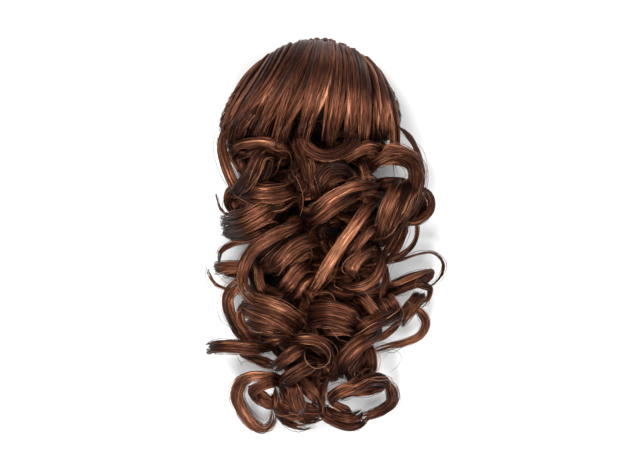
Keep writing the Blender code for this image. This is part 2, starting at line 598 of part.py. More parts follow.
def clip_centre_x():
    """The clip sits in the middle of the crown's section over it."""
    place = CLIP_Y / STEP[1]
    edges = interpolate_rows(BACKING, 1, place)[0] + interpolate_rows(BACKING, 2, place)[0]
    return edges / 2.0 * STEP[0]


def fused_locks(helpers, locks):
    """One skin round the backing and every lock, not yet cut."""
    places = np.array([row[0] for row in BACKING], float)
    skin = new_object("skin", arch_mesh("skin", places, 0.0, BELOW_FLOOR * STEP[2]), helpers, hidden=True)
    for row in CROWN_LOCKS:
        mesh = lock_mesh("crown_lock", crown_route(row), row[6], CROWN_THICKNESS, 0.0, CROWN_TIP)
        new_object("crown_lock", mesh, locks, hidden=True)
    for table in (LEFT_LOCKS, CENTRE_LOCKS, RIGHT_LOCKS, TIP_LOCKS):
        for width, thickness, roll, tip, route in table:
            mesh = lock_mesh("lock", route, width, thickness, roll, tip)
            new_object("lock", mesh, locks, hidden=True)
    for width, route in under_curl_routes():
        mesh = lock_mesh("under_curl", route, width, UNDER_THICKNESS, 0.0, UNDER_TIP)
        new_object("under_curl", mesh, locks, hidden=True)
    boolean(skin, "UNION", locks)
    apply_modifiers(skin)
    fill_sealed_pockets(skin.data)
    thin_out(skin)
    return skin


def cutter(name, low, high, helpers):
    """Hidden box that cuts or joins the hair."""
    return new_object(name, box_mesh(name, low, high), helpers, hidden=True)


def build_crown(parts, helpers, skin):
    """The combed crown: a hollow shell over the clip, open below and towards the curls."""
    crown = new_object("combed_crown", skin.data.copy(), parts)
    below = BELOW_FLOOR * STEP[2]
    boolean(crown, "DIFFERENCE", cutter("curls_side", (-WIDTH, -LENGTH, -DEPTH),
                                        (WIDTH, CROWN_FRONT * STEP[1], 2.0 * DEPTH), helpers))
    hollow_places = np.linspace(HOLLOW_BACK, CROWN_FRONT - 1.0, HOLLOW_SECTIONS)
    hollow = arch_mesh("crown_hollow", hollow_places, CROWN_WALL, 2.0 * below)
    boolean(crown, "DIFFERENCE", new_object("crown_hollow", hollow, helpers, hidden=True))

    _, spine_z, clip_top = clip_sizes()
    centre_x = clip_centre_x()
    half_jaw = JAW_LENGTH / 2.0 + CLIP_ROOM
    jaw_reach = JAW_RADIUS + JAW_WALL / 2.0 + CLIP_ROOM
    boolean(crown, "DIFFERENCE", cutter(
        "jaw_room", (centre_x - half_jaw, CLIP_Y - jaw_reach, -below),
        (centre_x + half_jaw, CLIP_Y + jaw_reach, clip_top - SPINE_RADIUS), helpers))
    half_tab = TAB_WIDTH / 2.0 + CLIP_ROOM
    tab_reach = TAB_LENGTH * math.cos(TAB_LIFT) + CLIP_ROOM
    tab_top = spine_z + TAB_LENGTH * math.sin(TAB_LIFT) + TAB_WALL / 2.0 + CLIP_ROOM / 2.0
    boolean(crown, "DIFFERENCE", cutter(
        "tab_room", (centre_x - half_tab, CLIP_Y - tab_reach, -below),
        (centre_x + half_tab, CLIP_Y + tab_reach, tab_top), helpers))
    roof = crown_height(np.array([centre_x / STEP[0]]), np.array([CLIP_Y / STEP[1]]))[0] * STEP[2]
    boolean(crown, "UNION", cutter(
        "weft", (centre_x - WEFT_LENGTH / 2.0, CLIP_Y - WEFT_DEPTH / 2.0, clip_top + SEAT_GAP),
        (centre_x + WEFT_LENGTH / 2.0, CLIP_Y + WEFT_DEPTH / 2.0, roof - CROWN_WALL / 2.0), helpers))
    close_off(crown, helpers)


def build_curls(parts, helpers, skin):
    """The curled lengths, which meet the crown's front face to face."""
    curls = new_object("curled_lengths", skin.data.copy(), parts)
    boolean(curls, "DIFFERENCE", cutter("crown_side", (-WIDTH, CROWN_FRONT * STEP[1] - SEAT_GAP, -DEPTH),
                                        (WIDTH, LENGTH, 2.0 * DEPTH), helpers))
    close_off(curls, helpers)


def close_off(hair, helpers):
    """Cut a piece of hair flat where it rests, and leave it one closed skin with its material."""
    below_floor = cutter("below_floor", (-WIDTH, -LENGTH, -DEPTH), (WIDTH, LENGTH, 0.0), helpers)
    boolean(hair, "DIFFERENCE", below_floor)
    apply_modifiers(hair)
    fill_sealed_pockets(hair.data)
    triangulate_closed(hair.data)
    finish(hair, "brown hair", HAIR_COLOUR, 0.38, 0.25)


def finish(obj, name, colour, roughness, metallic):
    """Give an object its material and smooth shading between sharp edges."""
    material = bpy.data.materials.new(name)
    material.use_nodes = True
    shader = material.node_tree.nodes["Principled BSDF"]
    shader.inputs["Base Color"].default_value = colour
    shader.inputs["Roughness"].default_value = roughness
    shader.inputs["Metallic"].default_value = metallic
    obj.data.materials.clear()
    obj.data.materials.append(material)
    obj.data.shade_smooth()
    obj.data.set_sharp_from_angle(angle=SHARP_ANGLE)


def new_collection(name):
    """Collection linked to the scene."""
    collection = bpy.data.collections.new(name)
    bpy.context.scene.collection.children.link(collection)
    return collection


def main():
    """Clear the scene, then build the clip, the crown over it and the curls."""
    for obj in list(bpy.data.objects):
        bpy.data.objects.remove(obj, do_unlink=True)
    parts = new_collection("claw_clip_ponytail")
    helpers = new_collection("cutters")
    locks = new_collection("locks")
    build_clip(parts, helpers)
    skin = fused_locks(helpers, locks)
    build_crown(parts, helpers, skin)
    build_curls(parts, helpers, skin)
    for collection in (helpers, locks):
        for obj in list(collection.objects):
            bpy.data.objects.remove(obj, do_unlink=True)
        bpy.data.collections.remove(collection)


main()
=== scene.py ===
"""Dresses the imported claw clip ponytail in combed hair, curled locks, loose strands and clip plastic.

+Y runs from the curled tips to the crown, +X to the right seen from above, +Z up from the surface.
"""

import math

import bpy
import numpy as np
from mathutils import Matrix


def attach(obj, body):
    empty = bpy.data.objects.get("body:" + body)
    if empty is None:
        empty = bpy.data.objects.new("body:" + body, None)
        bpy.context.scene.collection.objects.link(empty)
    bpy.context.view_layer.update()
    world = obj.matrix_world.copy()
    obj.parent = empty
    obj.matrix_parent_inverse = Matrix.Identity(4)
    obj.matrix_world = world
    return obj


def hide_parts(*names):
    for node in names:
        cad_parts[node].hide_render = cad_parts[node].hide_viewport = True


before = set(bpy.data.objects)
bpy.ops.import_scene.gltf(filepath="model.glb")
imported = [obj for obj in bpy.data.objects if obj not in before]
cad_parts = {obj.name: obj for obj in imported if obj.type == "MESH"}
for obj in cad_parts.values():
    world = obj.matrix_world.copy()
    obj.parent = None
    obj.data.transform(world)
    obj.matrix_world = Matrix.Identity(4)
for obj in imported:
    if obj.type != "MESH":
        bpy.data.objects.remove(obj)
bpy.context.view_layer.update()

bl_info = {
    "name": "Claw clip ponytail",
    "version": (1, 0, 0),
    "blender": (4, 5, 0),
    "location": "3D View > Sidebar > Hairpiece",
    "description": "Dresses a packed curled hairpiece in combed hair, curled locks and loose strands",
    "category": "Object",
}

BODY = "root"
CROWN_NODE = "combed_crown"
CURLS_NODE = "curled_lengths"
CLIP_NODE = "claw_clip"

# Driving sizes of the hair, in metres, as in the part's source
WIDTH = 0.200
LENGTH = 0.333
DEPTH = 0.075

# Every table below counts in steps: WIDTH is 240 steps across, LENGTH 400 along, DEPTH 90 deep
STEP = np.array([WIDTH / 240.0, LENGTH / 400.0, DEPTH / 90.0])
LOCK_STEP = WIDTH / 240.0
# Lowest that hair comes to the surface, in metres
FLOOR_GAP = 0.0003

# The inner mass that the locks stand on: a row for each section
# y, left edge, right edge, crest of the inner mass, crest of the combed crown over it
BACKING = (
    (200, -12, 2, 8, 8),
    (197, -31, 12, 24, 24),
    (190, -45, 27, 39, 39),
    (180, -57, 36, 53, 53),
    (168, -67, 47, 62, 62),
    (155, -80, 58, 68, 68),
    (140, -92, 66, 71, 72),
    (128, -98, 69, 66, 74),
    (118, -101, 70, 54, 73),
    (108, -98, 66, 48, 70),
    (92, -88, 54, 47, 64),
    (70, -80, 44, 48, 60),
    (40, -74, 52, 50, 60),
    (0, -74, 56, 50, 60),
    (-40, -68, 50, 47, 55),
    (-75, -70, 56, 43, 50),
    (-105, -60, 40, 35, 45),
    (-128, -48, 30, 28, 40),
    (-146, -38, 14, 16, 35),
)
ARCH_FULLNESS = 0.75
HOLLOW_FRONT = 121.0
# Height of the visible inner mass as a share of the table's
INNER_HEIGHT = 0.80
# Least width and height of an arch in metres, and how near its edge the crown's height is still read
LEAST_WIDTH = 0.001
LEAST_CREST = 0.0008
MOST_OFF_CENTRE = 0.97

# Locks of the combed crown, from the roots to the ends: a row for each lock
# root x, root y, middle x, middle y, end x, end y, width, lift off the inner mass
CROWN_LOCKS = (
    (-58, 179, -83, 152, -103, 112, 13, 1),
    (-54, 183, -77, 152, -99, 111, 14, 3),
    (-50, 186, -69, 150, -91, 112, 14, 2),
    (-44, 189, -61, 150, -82, 114, 15, 4),
    (-38, 192, -54, 152, -71, 120, 15, 2),
    (-32, 194, -46, 156, -61, 122, 14, 4),
    (-25, 196, -38, 158, -49, 122, 14, 2),
    (-18, 197, -27, 158, -35, 116, 14, 4),
    (-12, 198, -18, 160, -26, 118, 13, 2),
    (-5, 198, -8, 160, -16, 120, 14, 4),
    (2, 197, 2, 160, -5, 118, 14, 2),
    (8, 196, 11, 160, 7, 116, 14, 3),
    (14, 194, 20, 160, 17, 114, 14, 2),
    (20, 191, 29, 160, 28, 112, 14, 4),
    (26, 188, 37, 158, 36, 112, 14, 5),
    (32, 184, 45, 155, 46, 118, 14, 2),
    (37, 179, 53, 152, 62, 112, 14, 4),
    (41, 175, 60, 146, 70, 100, 13, 2),
)
CROWN_THICKNESS = 6.0
# Last place between the table's locks that still has a row after it
LAST_PLACE = len(CROWN_LOCKS) - 1.001
# How an end turns under: the furthest it runs on and drops, the share of the drop at the first of its last
# two points, and how many times further out the last one is
END_RUN = 12.0
END_DROP = 30.0
NEAR_DROP = 0.35
FAR_RUN = 1.7
# Share of its top's height at which a lock's wall point lies
WALL_SHARE = 0.6

# Narrower crown locks between the table's: place of the first, step between two, thickness, and the ranges
# of their widths and of their lift over the table's locks
BETWEEN_FIRST = 0.2
BETWEEN_STEP = 0.45
BETWEEN_THICKNESS = 4.0
BETWEEN_WIDTHS = (5.0, 9.0)
BETWEEN_LIFTS = (0.5, 2.5)

# Where the crown's ends gather, as places between the table's locks, and how much further each clump goes
CROWN_CLUMPS = ((0.3, 2), (1.9, -3), (3.7, 4), (5.2, -4), (6.5, 7), (8.2, 14), (9.8, 6), (11.4, 11),
                (12.9, 3), (14.3, 12), (15.6, 2), (16.8, 9))
CLUMP_PULL = 0.55
CLUMP_STAGGER = 6.0
CLUMP_LIFT = 1.5
END_STRAY = 1.3

# Smooth shifts of the ends, each as most, place between the table's locks where it is most, and spread:
# a sweep to the left, with a share of it at the lock's middle, and two stretches that are drawn back
END_SWEEP = (24.0, 7.0, 3.6)
MIDDLE_SWEEP = 0.4
SHORT_LEFT = (8.0, 4.5, 2.4)
SHORT_RIGHT = (5.0, 10.5, 1.8)

# Painted light along the combed hair's length, as shares of the length and what is added to its tone there
# painted shade from the roots over the top, a painted highlight on the front slope, painted shade where the
# ends turn under
CROWN_PAINTED_LIGHT = ((0.0, 0.28, 0.56, 0.70, 0.79, 0.86, 0.92, 1.0),
              (-0.10, -0.15, -0.19, 0.02, 0.05, -0.08, -0.24, -0.38))
# Painted light on a curl: its rise in metres under which the crest gets hardly any painted highlight, what
# the painted highlight on the crest adds, what is taken off everywhere, and what painted shade a steep run
# takes off
CREST_RISE = 0.012
CREST_PAINTED_HIGHLIGHT = 0.46
TONE_OFF = 0.17
STEEP_PAINTED_SHADE = 0.35

# The crown's middle in plan, and its hem: where it starts at the sides, how many locks stand at each side and
# at the back, their width and thickness, how far a crown lock's foot is off its root, how far in the height
# is read, how far they lean forward, over what length the lean grows, and the height of their feet
CROWN_CENTRE = (-15.0, 150.0)
HEM_FRONT = 104.0
HEM_SIDE_LOCKS = 20
HEM_BACK_LOCKS = 18
HEM_WIDTH = 11.0
HEM_THICKNESS = 3.0
HEM_REACH = -0.5
HEM_INSET = 8.0
HEM_LEAN = 6.0
HEM_LEAN_LENGTH = 50.0
HEM_LOW = 1.5

# Size of a lock and of its tip along its length, as shares of the length and shares of the size
LOCK_TAPER = ((0.0, 0.08, 0.24, 0.65, 0.96), (0.22, 0.6, 1.0, 1.0, 0.0))
TIP_TAPER = ((0.65, 0.96, 1.0), (0.0, 1.0, 0.45))
# Thinner locks in a lock: first place where one stops, how far one strays in metres, where its taper begins
# and ends, what is left at its tip, how much wider and how much thinner than its share it is, how far it
# stands off the middle of the lock, and the random turn of its face
SPLIT_STOP = 0.88
SPLIT_STRAY = 0.0011
SPLIT_FULL = (0.10, 0.72)
SPLIT_TIP = 0.16
SPLIT_WIDTHS = (1.15, 1.6)
SPLIT_THICKNESSES = (0.45, 0.75)
SPLIT_LIFTS = (-0.35, 0.60)
SPLIT_TURN = 0.35
# Strands on a lock: last start and first stop, share that lies on its upper side and how near the edges
# that comes, random turn round it and random step off its skin, taper's length and least size
STRAND_START = 0.12
STRAND_STOP = 0.86
UPPER_SHARE = 0.78
UPPER_SIDE = (0.04, 0.96)
STRAND_TURN = 0.30
SKIN_STEP = 0.07
STRAND_TAPER = 0.14
STRAND_TIP = 0.10
# Ridges round a lock: number of cosines, how fast they drift along it, and what their sum is divided by
RIDGE_WAVES = 5
RIDGE_DRIFT = 2.2
RIDGE_SUM = 2.2
# Least straying, at the middle of a lock's length
LEAST_LOOSE = 0.25
# Points of a fine curve for each point of a route
FINE_POINTS = 16

# Short curls over the inner mass: ranges of y, of the turn in radians, of the radius and of the lift, the
# spread over the width, how much flatter they are in y, and how far they stay in from the edges and ends
INNER_Y = (-138.0, 112.0)
INNER_TURNS = (1.8, 4.2)
INNER_RADII = (9.0, 22.0)
INNER_LIFTS = (0.0, 9.0)
INNER_SPREAD = 0.72
INNER_FLATTER = 0.8
INNER_EDGE = 5.0
INNER_OFF_CENTRE = 0.96
INNER_END = 4.0
INNER_FRONT = 3.0

# The strand map: metres from one loft's map to the next, and how much a pattern is drawn out along strands
MAP_SHIFT = 0.037
STRETCH = (1.0, 0.045, 1.0)
# Hair pattern: scales of the fine and the broad streaks, what each and the tone with its painted highlight
# and painted shade add to the place on the ramp of browns, what is taken off it, and where the ramp's browns
# are
FINE_SCALE = 2300.0
BROAD_SCALE = 620.0
FINE_PART = 0.80
BROAD_PART = 0.75
PAINTED_LIGHT_AND_TONE_PART = 0.80
RAMP_OFF = 0.735
RAMP = (0.18, 0.52, 0.86)

# The stage in metres: half the surface and its height, what the lights aim at, the photo's middle in steps,
# and the height of the hair that the picture's width is measured at
SURFACE_HALF = 3.0
SURFACE_Z = -0.0002
LIGHT_AIM = (0.0, 0.0, 0.03)
PHOTO_MIDDLE = (-5.0, 8.0, 0.0)
HAIR_HEIGHT = 0.040
# The lights: name, place, length of a side, the setting that holds the power and the share of it
LIGHTS = (
    ("key", (-0.75, 0.70, 1.15), 0.9, "key_power", 1.0),
    ("lower fill", (-0.20, -1.10, 0.95), 0.7, "fill_power", 1.0),
    ("right fill", (1.20, 0.25, 0.80), 0.8, "fill_power", 0.8),
)

# Curled locks: a row for each lock
# width, thickness, roll of its face in degrees, share of its width left at the tip, route
LEFT_LOCKS = (
    (12, 5, -30, 0.6, ((-101, 114, 36), (-105, 98, 34), (-102, 79, 30), (-95, 60, 32), (-85, 44, 42),
        (-68, 36, 54), (-46, 37, 50))),
    (10, 5, 0, 0.7, ((-98, 80, 20), (-93, 90, 36), (-78, 95, 52), (-58, 95, 62), (-42, 90, 58),
        (-31, 80, 42))),
    (9, 5, 0, 0.7, ((-92, 78, 22), (-80, 86, 40), (-62, 88, 52), (-46, 82, 46), (-38, 70, 34))),
    (14, 5, 0, 0.7, ((-54, 88, 48), (-66, 82, 64), (-71, 69, 68), (-79, 57, 60), (-88, 47, 44),
        (-96, 40, 24))),
    (11, 5, 0, 0.7, ((-48, 84, 44), (-56, 75, 58), (-60, 64, 56), (-68, 54, 50), (-80, 44, 38))),
    (16, 6, 0, 0.7, ((-84, 46, 42), (-72, 44, 58), (-56, 43, 64), (-42, 45, 60), (-29, 52, 42))),
    (12, 5, 0, 0.7, ((-80, 34, 44), (-64, 31, 58), (-48, 32, 60), (-32, 40, 44))),
    (9, 5, -60, 0.7, ((-88, 54, 32), (-97, 47, 28), (-99, 34, 26), (-93, 26, 26), (-84, 32, 34))),
    (3, 3, 60, 0.3, ((-82, 33, 38), (-94, 23, 28), (-103, 26, 24), (-109, 37, 22), (-112, 50, 22))),
    (22, 6, 0, 0.8, ((-48, 32, 48), (-64, 24, 68), (-80, 15, 62), (-95, 11, 42), (-103, 10, 22),
        (-92, 8, 8))),
    (9, 4, 0, 0.7, ((-50, 14, 48), (-67, 5, 62), (-84, 0, 48), (-97, 3, 28), (-102, 11, 16))),
    (12, 6, 0, 0.7, ((-20, 18, 46), (-34, 10, 62), (-50, 4, 70), (-66, -6, 66), (-77, -17, 58),
        (-83, -32, 50), (-83, -48, 50), (-74, -62, 56), (-58, -72, 54))),
    (10, 5, 0, 0.7, ((-24, 6, 44), (-44, -4, 58), (-60, -16, 52), (-72, -32, 42), (-70, -50, 42),
        (-54, -64, 42))),
    (8, 5, -40, 0.6, ((-60, 0, 46), (-78, -2, 44), (-94, -6, 34), (-106, -14, 22), (-108, -26, 10))),
    (13, 6, 0, 0.9, ((-66, -27, 34), (-84, -29, 38), (-100, -29, 32), (-111, -31, 18), (-104, -32, 6))),
    (7, 4, 0, 0.8, ((-72, -36, 24), (-90, -37, 26), (-108, -35, 14))),
    (4, 3, 60, 0.3, ((-78, -56, 34), (-97, -52, 26), (-111, -47, 20), (-119, -37, 16), (-120, -28, 14))),
    (7, 4, 0, 0.7, ((-71, -18, 46), (-67, -33, 58), (-64, -48, 58), (-52, -61, 44))),
    (13, 5, -30, 0.7, ((-78, -40, 40), (-92, -50, 32), (-99, -62, 24), (-97, -76, 22), (-90, -90, 24),
        (-80, -104, 26), (-66, -112, 22))),
    (9, 4, -20, 0.7, ((-80, -62, 28), (-87, -80, 34), (-78, -96, 32), (-52, -104, 16))),
    (24, 7, 0, 0.8, ((-84, -66, 22), (-78, -67, 44), (-66, -70, 62), (-50, -75, 70), (-36, -83, 60),
        (-26, -92, 38))),
    (10, 5, 0, 0.7, ((-80, -82, 26), (-70, -87, 44), (-56, -90, 50), (-40, -94, 40))),
    (7, 4, 0, 0.7, ((-68, -93, 34), (-54, -97, 48), (-40, -97, 46), (-28, -101, 34))),
)

CENTRE_LOCKS = (
    (12, 5, 20, 0.8, ((-20, 124, 52), (-24, 107, 64), (-20, 92, 68), (-8, 83, 70), (8, 82, 70),
        (21, 89, 68), (29, 102, 62), (30, 118, 50))),
    (11, 5, 0, 0.7, ((-31, 114, 48), (-29, 95, 60), (-22, 75, 60), (-16, 55, 58), (-12, 36, 46))),
    (9, 5, 0, 0.7, ((-22, 90, 50), (-14, 72, 62), (-12, 54, 62), (-6, 38, 48))),
    (16, 6, 0, 0.7, ((28, 62, 46), (14, 69, 62), (1, 67, 70), (-7, 56, 66), (-8, 42, 48))),
    (9, 5, 0, 0.6, ((24, 56, 46), (13, 60, 60), (5, 56, 64), (1, 47, 58), (2, 36, 44))),
    (10, 5, 0, 0.7, ((56, 52, 40), (38, 53, 58), (20, 49, 68), (5, 41, 70), (-7, 31, 64), (-16, 18, 46))),
    (11, 5, 0, 0.7, ((38, 47, 44), (21, 40, 62), (6, 30, 70), (-8, 19, 64), (-22, 8, 42))),
    (9, 4, 0, 0.7, ((30, 82, 44), (38, 67, 52), (40, 54, 50), (34, 40, 38))),
    (10, 5, 0, 0.7, ((10, 74, 44), (27, 84, 62), (42, 90, 62), (58, 86, 42))),
    (11, 5, 0, 0.7, ((50, 38, 40), (38, 25, 60), (28, 11, 68), (17, -4, 70), (7, -19, 66), (-1, -32, 58),
        (-10, -48, 50), (-24, -60, 38))),
    (9, 5, 0, 0.7, ((54, 20, 42), (42, 6, 60), (32, -6, 62), (24, -18, 54), (16, -30, 40))),
    (14, 6, 0, 0.8, ((-6, -6, 46), (-20, -4, 66), (-33, -10, 72), (-45, -22, 66), (-56, -34, 44))),
    (12, 5, 0, 0.7, ((-4, -14, 42), (-20, -14, 60), (-34, -24, 62), (-46, -36, 42))),
    (13, 6, 0, 0.8, ((-14, -24, 44), (-27, -32, 66), (-36, -43, 66), (-44, -56, 44))),
    (9, 5, 0, 0.7, ((-12, -34, 42), (-23, -45, 62), (-30, -55, 56), (-40, -63, 38))),
    (10, 5, 20, 0.7, ((57, -12, 42), (55, -29, 58), (47, -42, 64), (34, -49, 64), (20, -49, 56),
        (6, -40, 40))),
    (12, 5, 0, 0.7, ((48, -8, 40), (35, -18, 60), (26, -28, 64), (28, -42, 48))),
    (8, 4, 0, 0.7, ((18, -12, 46), (22, -24, 58), (32, -34, 46))),
    (9, 4, 0, 0.7, ((26, -56, 38), (38, -62, 56), (46, -71, 58), (51, -86, 38))),
    (22, 7, 0, 0.8, ((-20, -82, 28), (-10, -78, 54), (6, -76, 68), (21, -81, 62), (34, -90, 36))),
    (8, 4, 0, 0.7, ((-12, -59, 40), (4, -64, 58), (17, -71, 64), (32, -82, 44))),
    (10, 5, 0, 0.7, ((-12, -92, 28), (4, -92, 50), (20, -92, 50), (36, -98, 30))),
    (8, 4, 0, 0.7, ((0, -42, 42), (10, -54, 52), (24, -56, 50), (36, -48, 38))),
)

RIGHT_LOCKS = (
    (16, 6, 0, 0.7, ((42, 66, 38), (54, 78, 58), (70, 84, 60), (84, 79, 52), (91, 66, 42), (89, 48, 40),
        (80, 28, 42), (68, 8, 42), (56, -12, 34))),
    (9, 4, 20, 0.7, ((48, 82, 38), (62, 90, 48), (78, 87, 44), (90, 77, 34), (94, 62, 28), (88, 46, 26))),
    (12, 6, 0, 0.7, ((78, 60, 34), (68, 45, 56), (60, 28, 62), (55, 12, 58), (50, -6, 40))),
    (12, 6, 0, 0.7, ((84, 60, 36), (76, 44, 54), (69, 27, 60), (63, 11, 56), (57, -8, 38))),
    (9, 5, 0, 0.7, ((90, 56, 34), (84, 41, 46), (78, 27, 48), (68, 12, 38))),
    (5, 3, 50, 0.6, ((70, 112, 38), (84, 101, 34), (92, 87, 30), (96, 71, 28), (93, 55, 26), (84, 46, 28))),
    (7, 4, 40, 0.7, ((86, 50, 30), (99, 48, 32), (106, 38, 30), (105, 27, 28), (96, 19, 28), (82, 15, 32),
        (68, 18, 34))),
    (14, 5, 0, 0.8, ((54, 44, 22), (84, 46, 22), (96, 33, 20), (82, 20, 22), (52, 24, 20))),
    (5, 4, 40, 0.6, ((86, 24, 28), (92, 10, 26), (89, -4, 24), (78, -16, 26), (60, -24, 34))),
    (16, 5, 0, 0.8, ((80, 22, 26), (74, 4, 24), (64, -14, 26), (52, -28, 30))),
    (3.5, 3, 90, 0.8, ((52, -28, 34), (76, -22, 30), (94, -17, 24), (109, -16, 18), (118, -26, 14),
        (114, -40, 12), (100, -54, 14))),
    (7, 4, 20, 0.7, ((52, -50, 32), (74, -44, 36), (92, -37, 32), (104, -33, 24), (105, -39, 16),
        (93, -45, 22), (76, -53, 30), (54, -64, 30))),
    (4, 3, 50, 0.5, ((82, -50, 26), (98, -49, 20), (106, -52, 16), (104, -61, 14), (90, -74, 18))),
    (14, 4, -15, 0.8, ((99, -55, 14), (90, -64, 28), (82, -75, 30), (73, -88, 20))),
    (9, 4, 30, 0.7, ((80, -66, 28), (95, -74, 26), (101, -86, 20), (96, -98, 16), (82, -105, 16),
        (66, -109, 18), (44, -116, 20))),
    (6, 4, 0, 0.7, ((78, -80, 24), (69, -91, 20), (58, -100, 18), (40, -106, 20))),
    (15, 6, 0, 0.8, ((76, -72, 34), (61, -79, 52), (48, -84, 58), (37, -90, 54), (29, -101, 34))),
    (12, 5, 0, 0.8, ((52, -56, 36), (64, -64, 46), (70, -76, 40), (66, -88, 24))),
    (10, 5, 0, 0.7, ((46, -60, 38), (57, -71, 50), (64, -83, 38))),
    (8, 4, 0, 0.7, ((56, -24, 38), (60, -42, 46), (56, -56, 44), (62, -66, 34))),
)

TIP_LOCKS = (
    (13, 6, 0, 0.9, ((-52, -112, 26), (-74, -111, 42), (-95, -109, 38), (-112, -110, 26), (-119, -112, 12),
        (-108, -113, 6))),
    (9, 5, 0, 0.7, ((-88, -115, 14), (-76, -120, 28), (-63, -125, 32), (-46, -130, 24))),
    (13, 6, 0, 0.4, ((-44, -142, 20), (-58, -138, 42), (-74, -138, 44), (-86, -146, 34), (-90, -159, 26),
        (-86, -172, 18), (-79, -184, 12), (-70, -193, 9), (-61, -195, 9), (-54, -188, 10), (-53, -177, 13),
        (-50, -164, 18))),
    (11, 5, 0, 0.7, ((-42, -146, 24), (-60, -146, 46), (-73, -154, 40), (-68, -165, 26), (-54, -171, 18))),
    (12, 5, 0, 0.8, ((-16, -108, 32), (-33, -115, 54), (-43, -123, 50), (-52, -135, 28))),
    (14, 5, 0, 0.8, ((-6, -126, 28), (-24, -131, 52), (-36, -139, 48), (-50, -150, 26))),
    (9, 4, 0, 0.8, ((-46, -107, 32), (-28, -102, 48), (-11, -102, 52), (1, -110, 48), (4, -122, 40),
        (-4, -133, 28))),
    (10, 4, 0, 0.8, ((-22, -118, 28), (-10, -126, 34), (6, -124, 26))),
    (8, 5, 0, 0.7, ((-50, -148, 28), (-50, -166, 28), (-46, -181, 16), (-35, -190, 8), (-20, -192, 8),
        (-10, -188, 8))),
    (14, 5, 0, 0.8, ((-34, -138, 24), (-31, -154, 44), (-27, -168, 38), (-19, -181, 18))),
    (6, 3, 0, 0.7, ((-58, -160, 22), (-40, -172, 28), (-25, -180, 24), (-2, -184, 12))),
    (6, 4, 0, 0.7, ((2, -140, 26), (-3, -156, 26), (-4, -170, 20), (0, -186, 12))),
    (14, 6, 0, 0.7, ((56, -93, 30), (45, -99, 48), (33, -106, 54), (23, -115, 50), (16, -128, 40),
        (20, -146, 22))),
    (9, 4, 0, 0.7, ((36, -106, 36), (30, -120, 42), (24, -134, 36), (28, -152, 22))),
    (10, 4, 0, 0.7, ((28, -100, 14), (45, -116, 28), (46, -132, 24), (26, -148, 12))),
    (12, 5, 0, 0.8, ((12, -152, 26), (30, -149, 44), (47, -142, 38), (60, -145, 26), (66, -154, 14))),
    (12, 5, 0, 0.8, ((46, -146, 24), (29, -149, 42), (15, -153, 48), (6, -160, 38), (6, -168, 20))),
    (12, 5, 20, 0.7, ((56, -144, 22), (66, -154, 18), (67, -166, 14), (58, -174, 12), (44, -180, 12),
        (32, -184, 12))),
    (8, 4, 0, 0.7, ((62, -150, 20), (44, -155, 28), (27, -157, 26), (14, -166, 18))),
    (12, 5, 0, 0.8, ((-8, -174, 12), (7, -184, 18), (20, -189, 18), (33, -188, 14), (43, -179, 12))),
    (9, 4, 0, 0.8, ((0, -172, 12), (13, -180, 22), (26, -182, 24), (38, -176, 14))),
    (8, 4, 0, 0.7, ((2, -156, 20), (9, -167, 24), (21, -175, 20), (28, -184, 14))),
)

# Under-curls that round off the sides: a row for each side
# side, first y, last y, number, width, reach past the edge
UNDER_CURLS = (
    (-1, 96, -104, 12, 15, 4),
    (1, 92, -92, 11, 15, 3),
)
UNDER_THICKNESS = 5.0
UNDER_LEAN = 9.0

# Locks that lie lower, behind the gaps between the curls
FILLER_LOCKS = (
    (13, 4, 0, 0.6, ((46, 50, 20), (60, 54, 32), (76, 54, 32), (90, 46, 20))),
    (9, 4, 0, 0.6, ((44, 76, 30), (56, 77, 40), (70, 77, 40), (84, 72, 28))),
    (12, 4, 0, 0.6, ((-96, 88, 18), (-90, 80, 30), (-84, 69, 34), (-82, 56, 26))),
    (11, 4, 0, 0.6, ((-97, 45, 18), (-92, 36, 26), (-84, 30, 28), (-72, 26, 24))),
    (11, 4, 0, 0.6, ((-50, -148, 16), (-38, -163, 28), (-22, -172, 28), (-6, -176, 20), (4, -170, 12))),
    (9, 4, 0, 0.6, ((-48, -164, 14), (-33, -178, 22), (-16, -185, 18), (-2, -181, 10))),
    (8, 4, 0, 0.5, ((-54, -156, 20), (-48, -172, 26), (-34, -181, 26), (-20, -177, 22), (-13, -166, 14))),
    (14, 4, 0, 0.6, ((42, -102, 18), (40, -119, 26), (34, -134, 22), (22, -146, 12))),
    (14, 4, 0, 0.6, ((-76, -148, 22), (-67, -159, 30), (-56, -166, 28), (-44, -166, 18))),
    (12, 4, 0, 0.6, ((-38, 96, 44), (-52, 90, 54), (-70, 88, 50), (-88, 84, 32))),
    (14, 4, 0, 0.6, ((-42, -134, 18), (-25, -146, 30), (-12, -158, 30), (-3, -172, 18))),
    (7, 4, 0, 0.6, ((-16, -132, 18), (-9, -147, 26), (-7, -160, 24), (0, -178, 12))),
    (13, 4, 0, 0.7, ((56, -56, 22), (76, -47, 28), (93, -40, 26), (104, -36, 16))),
)

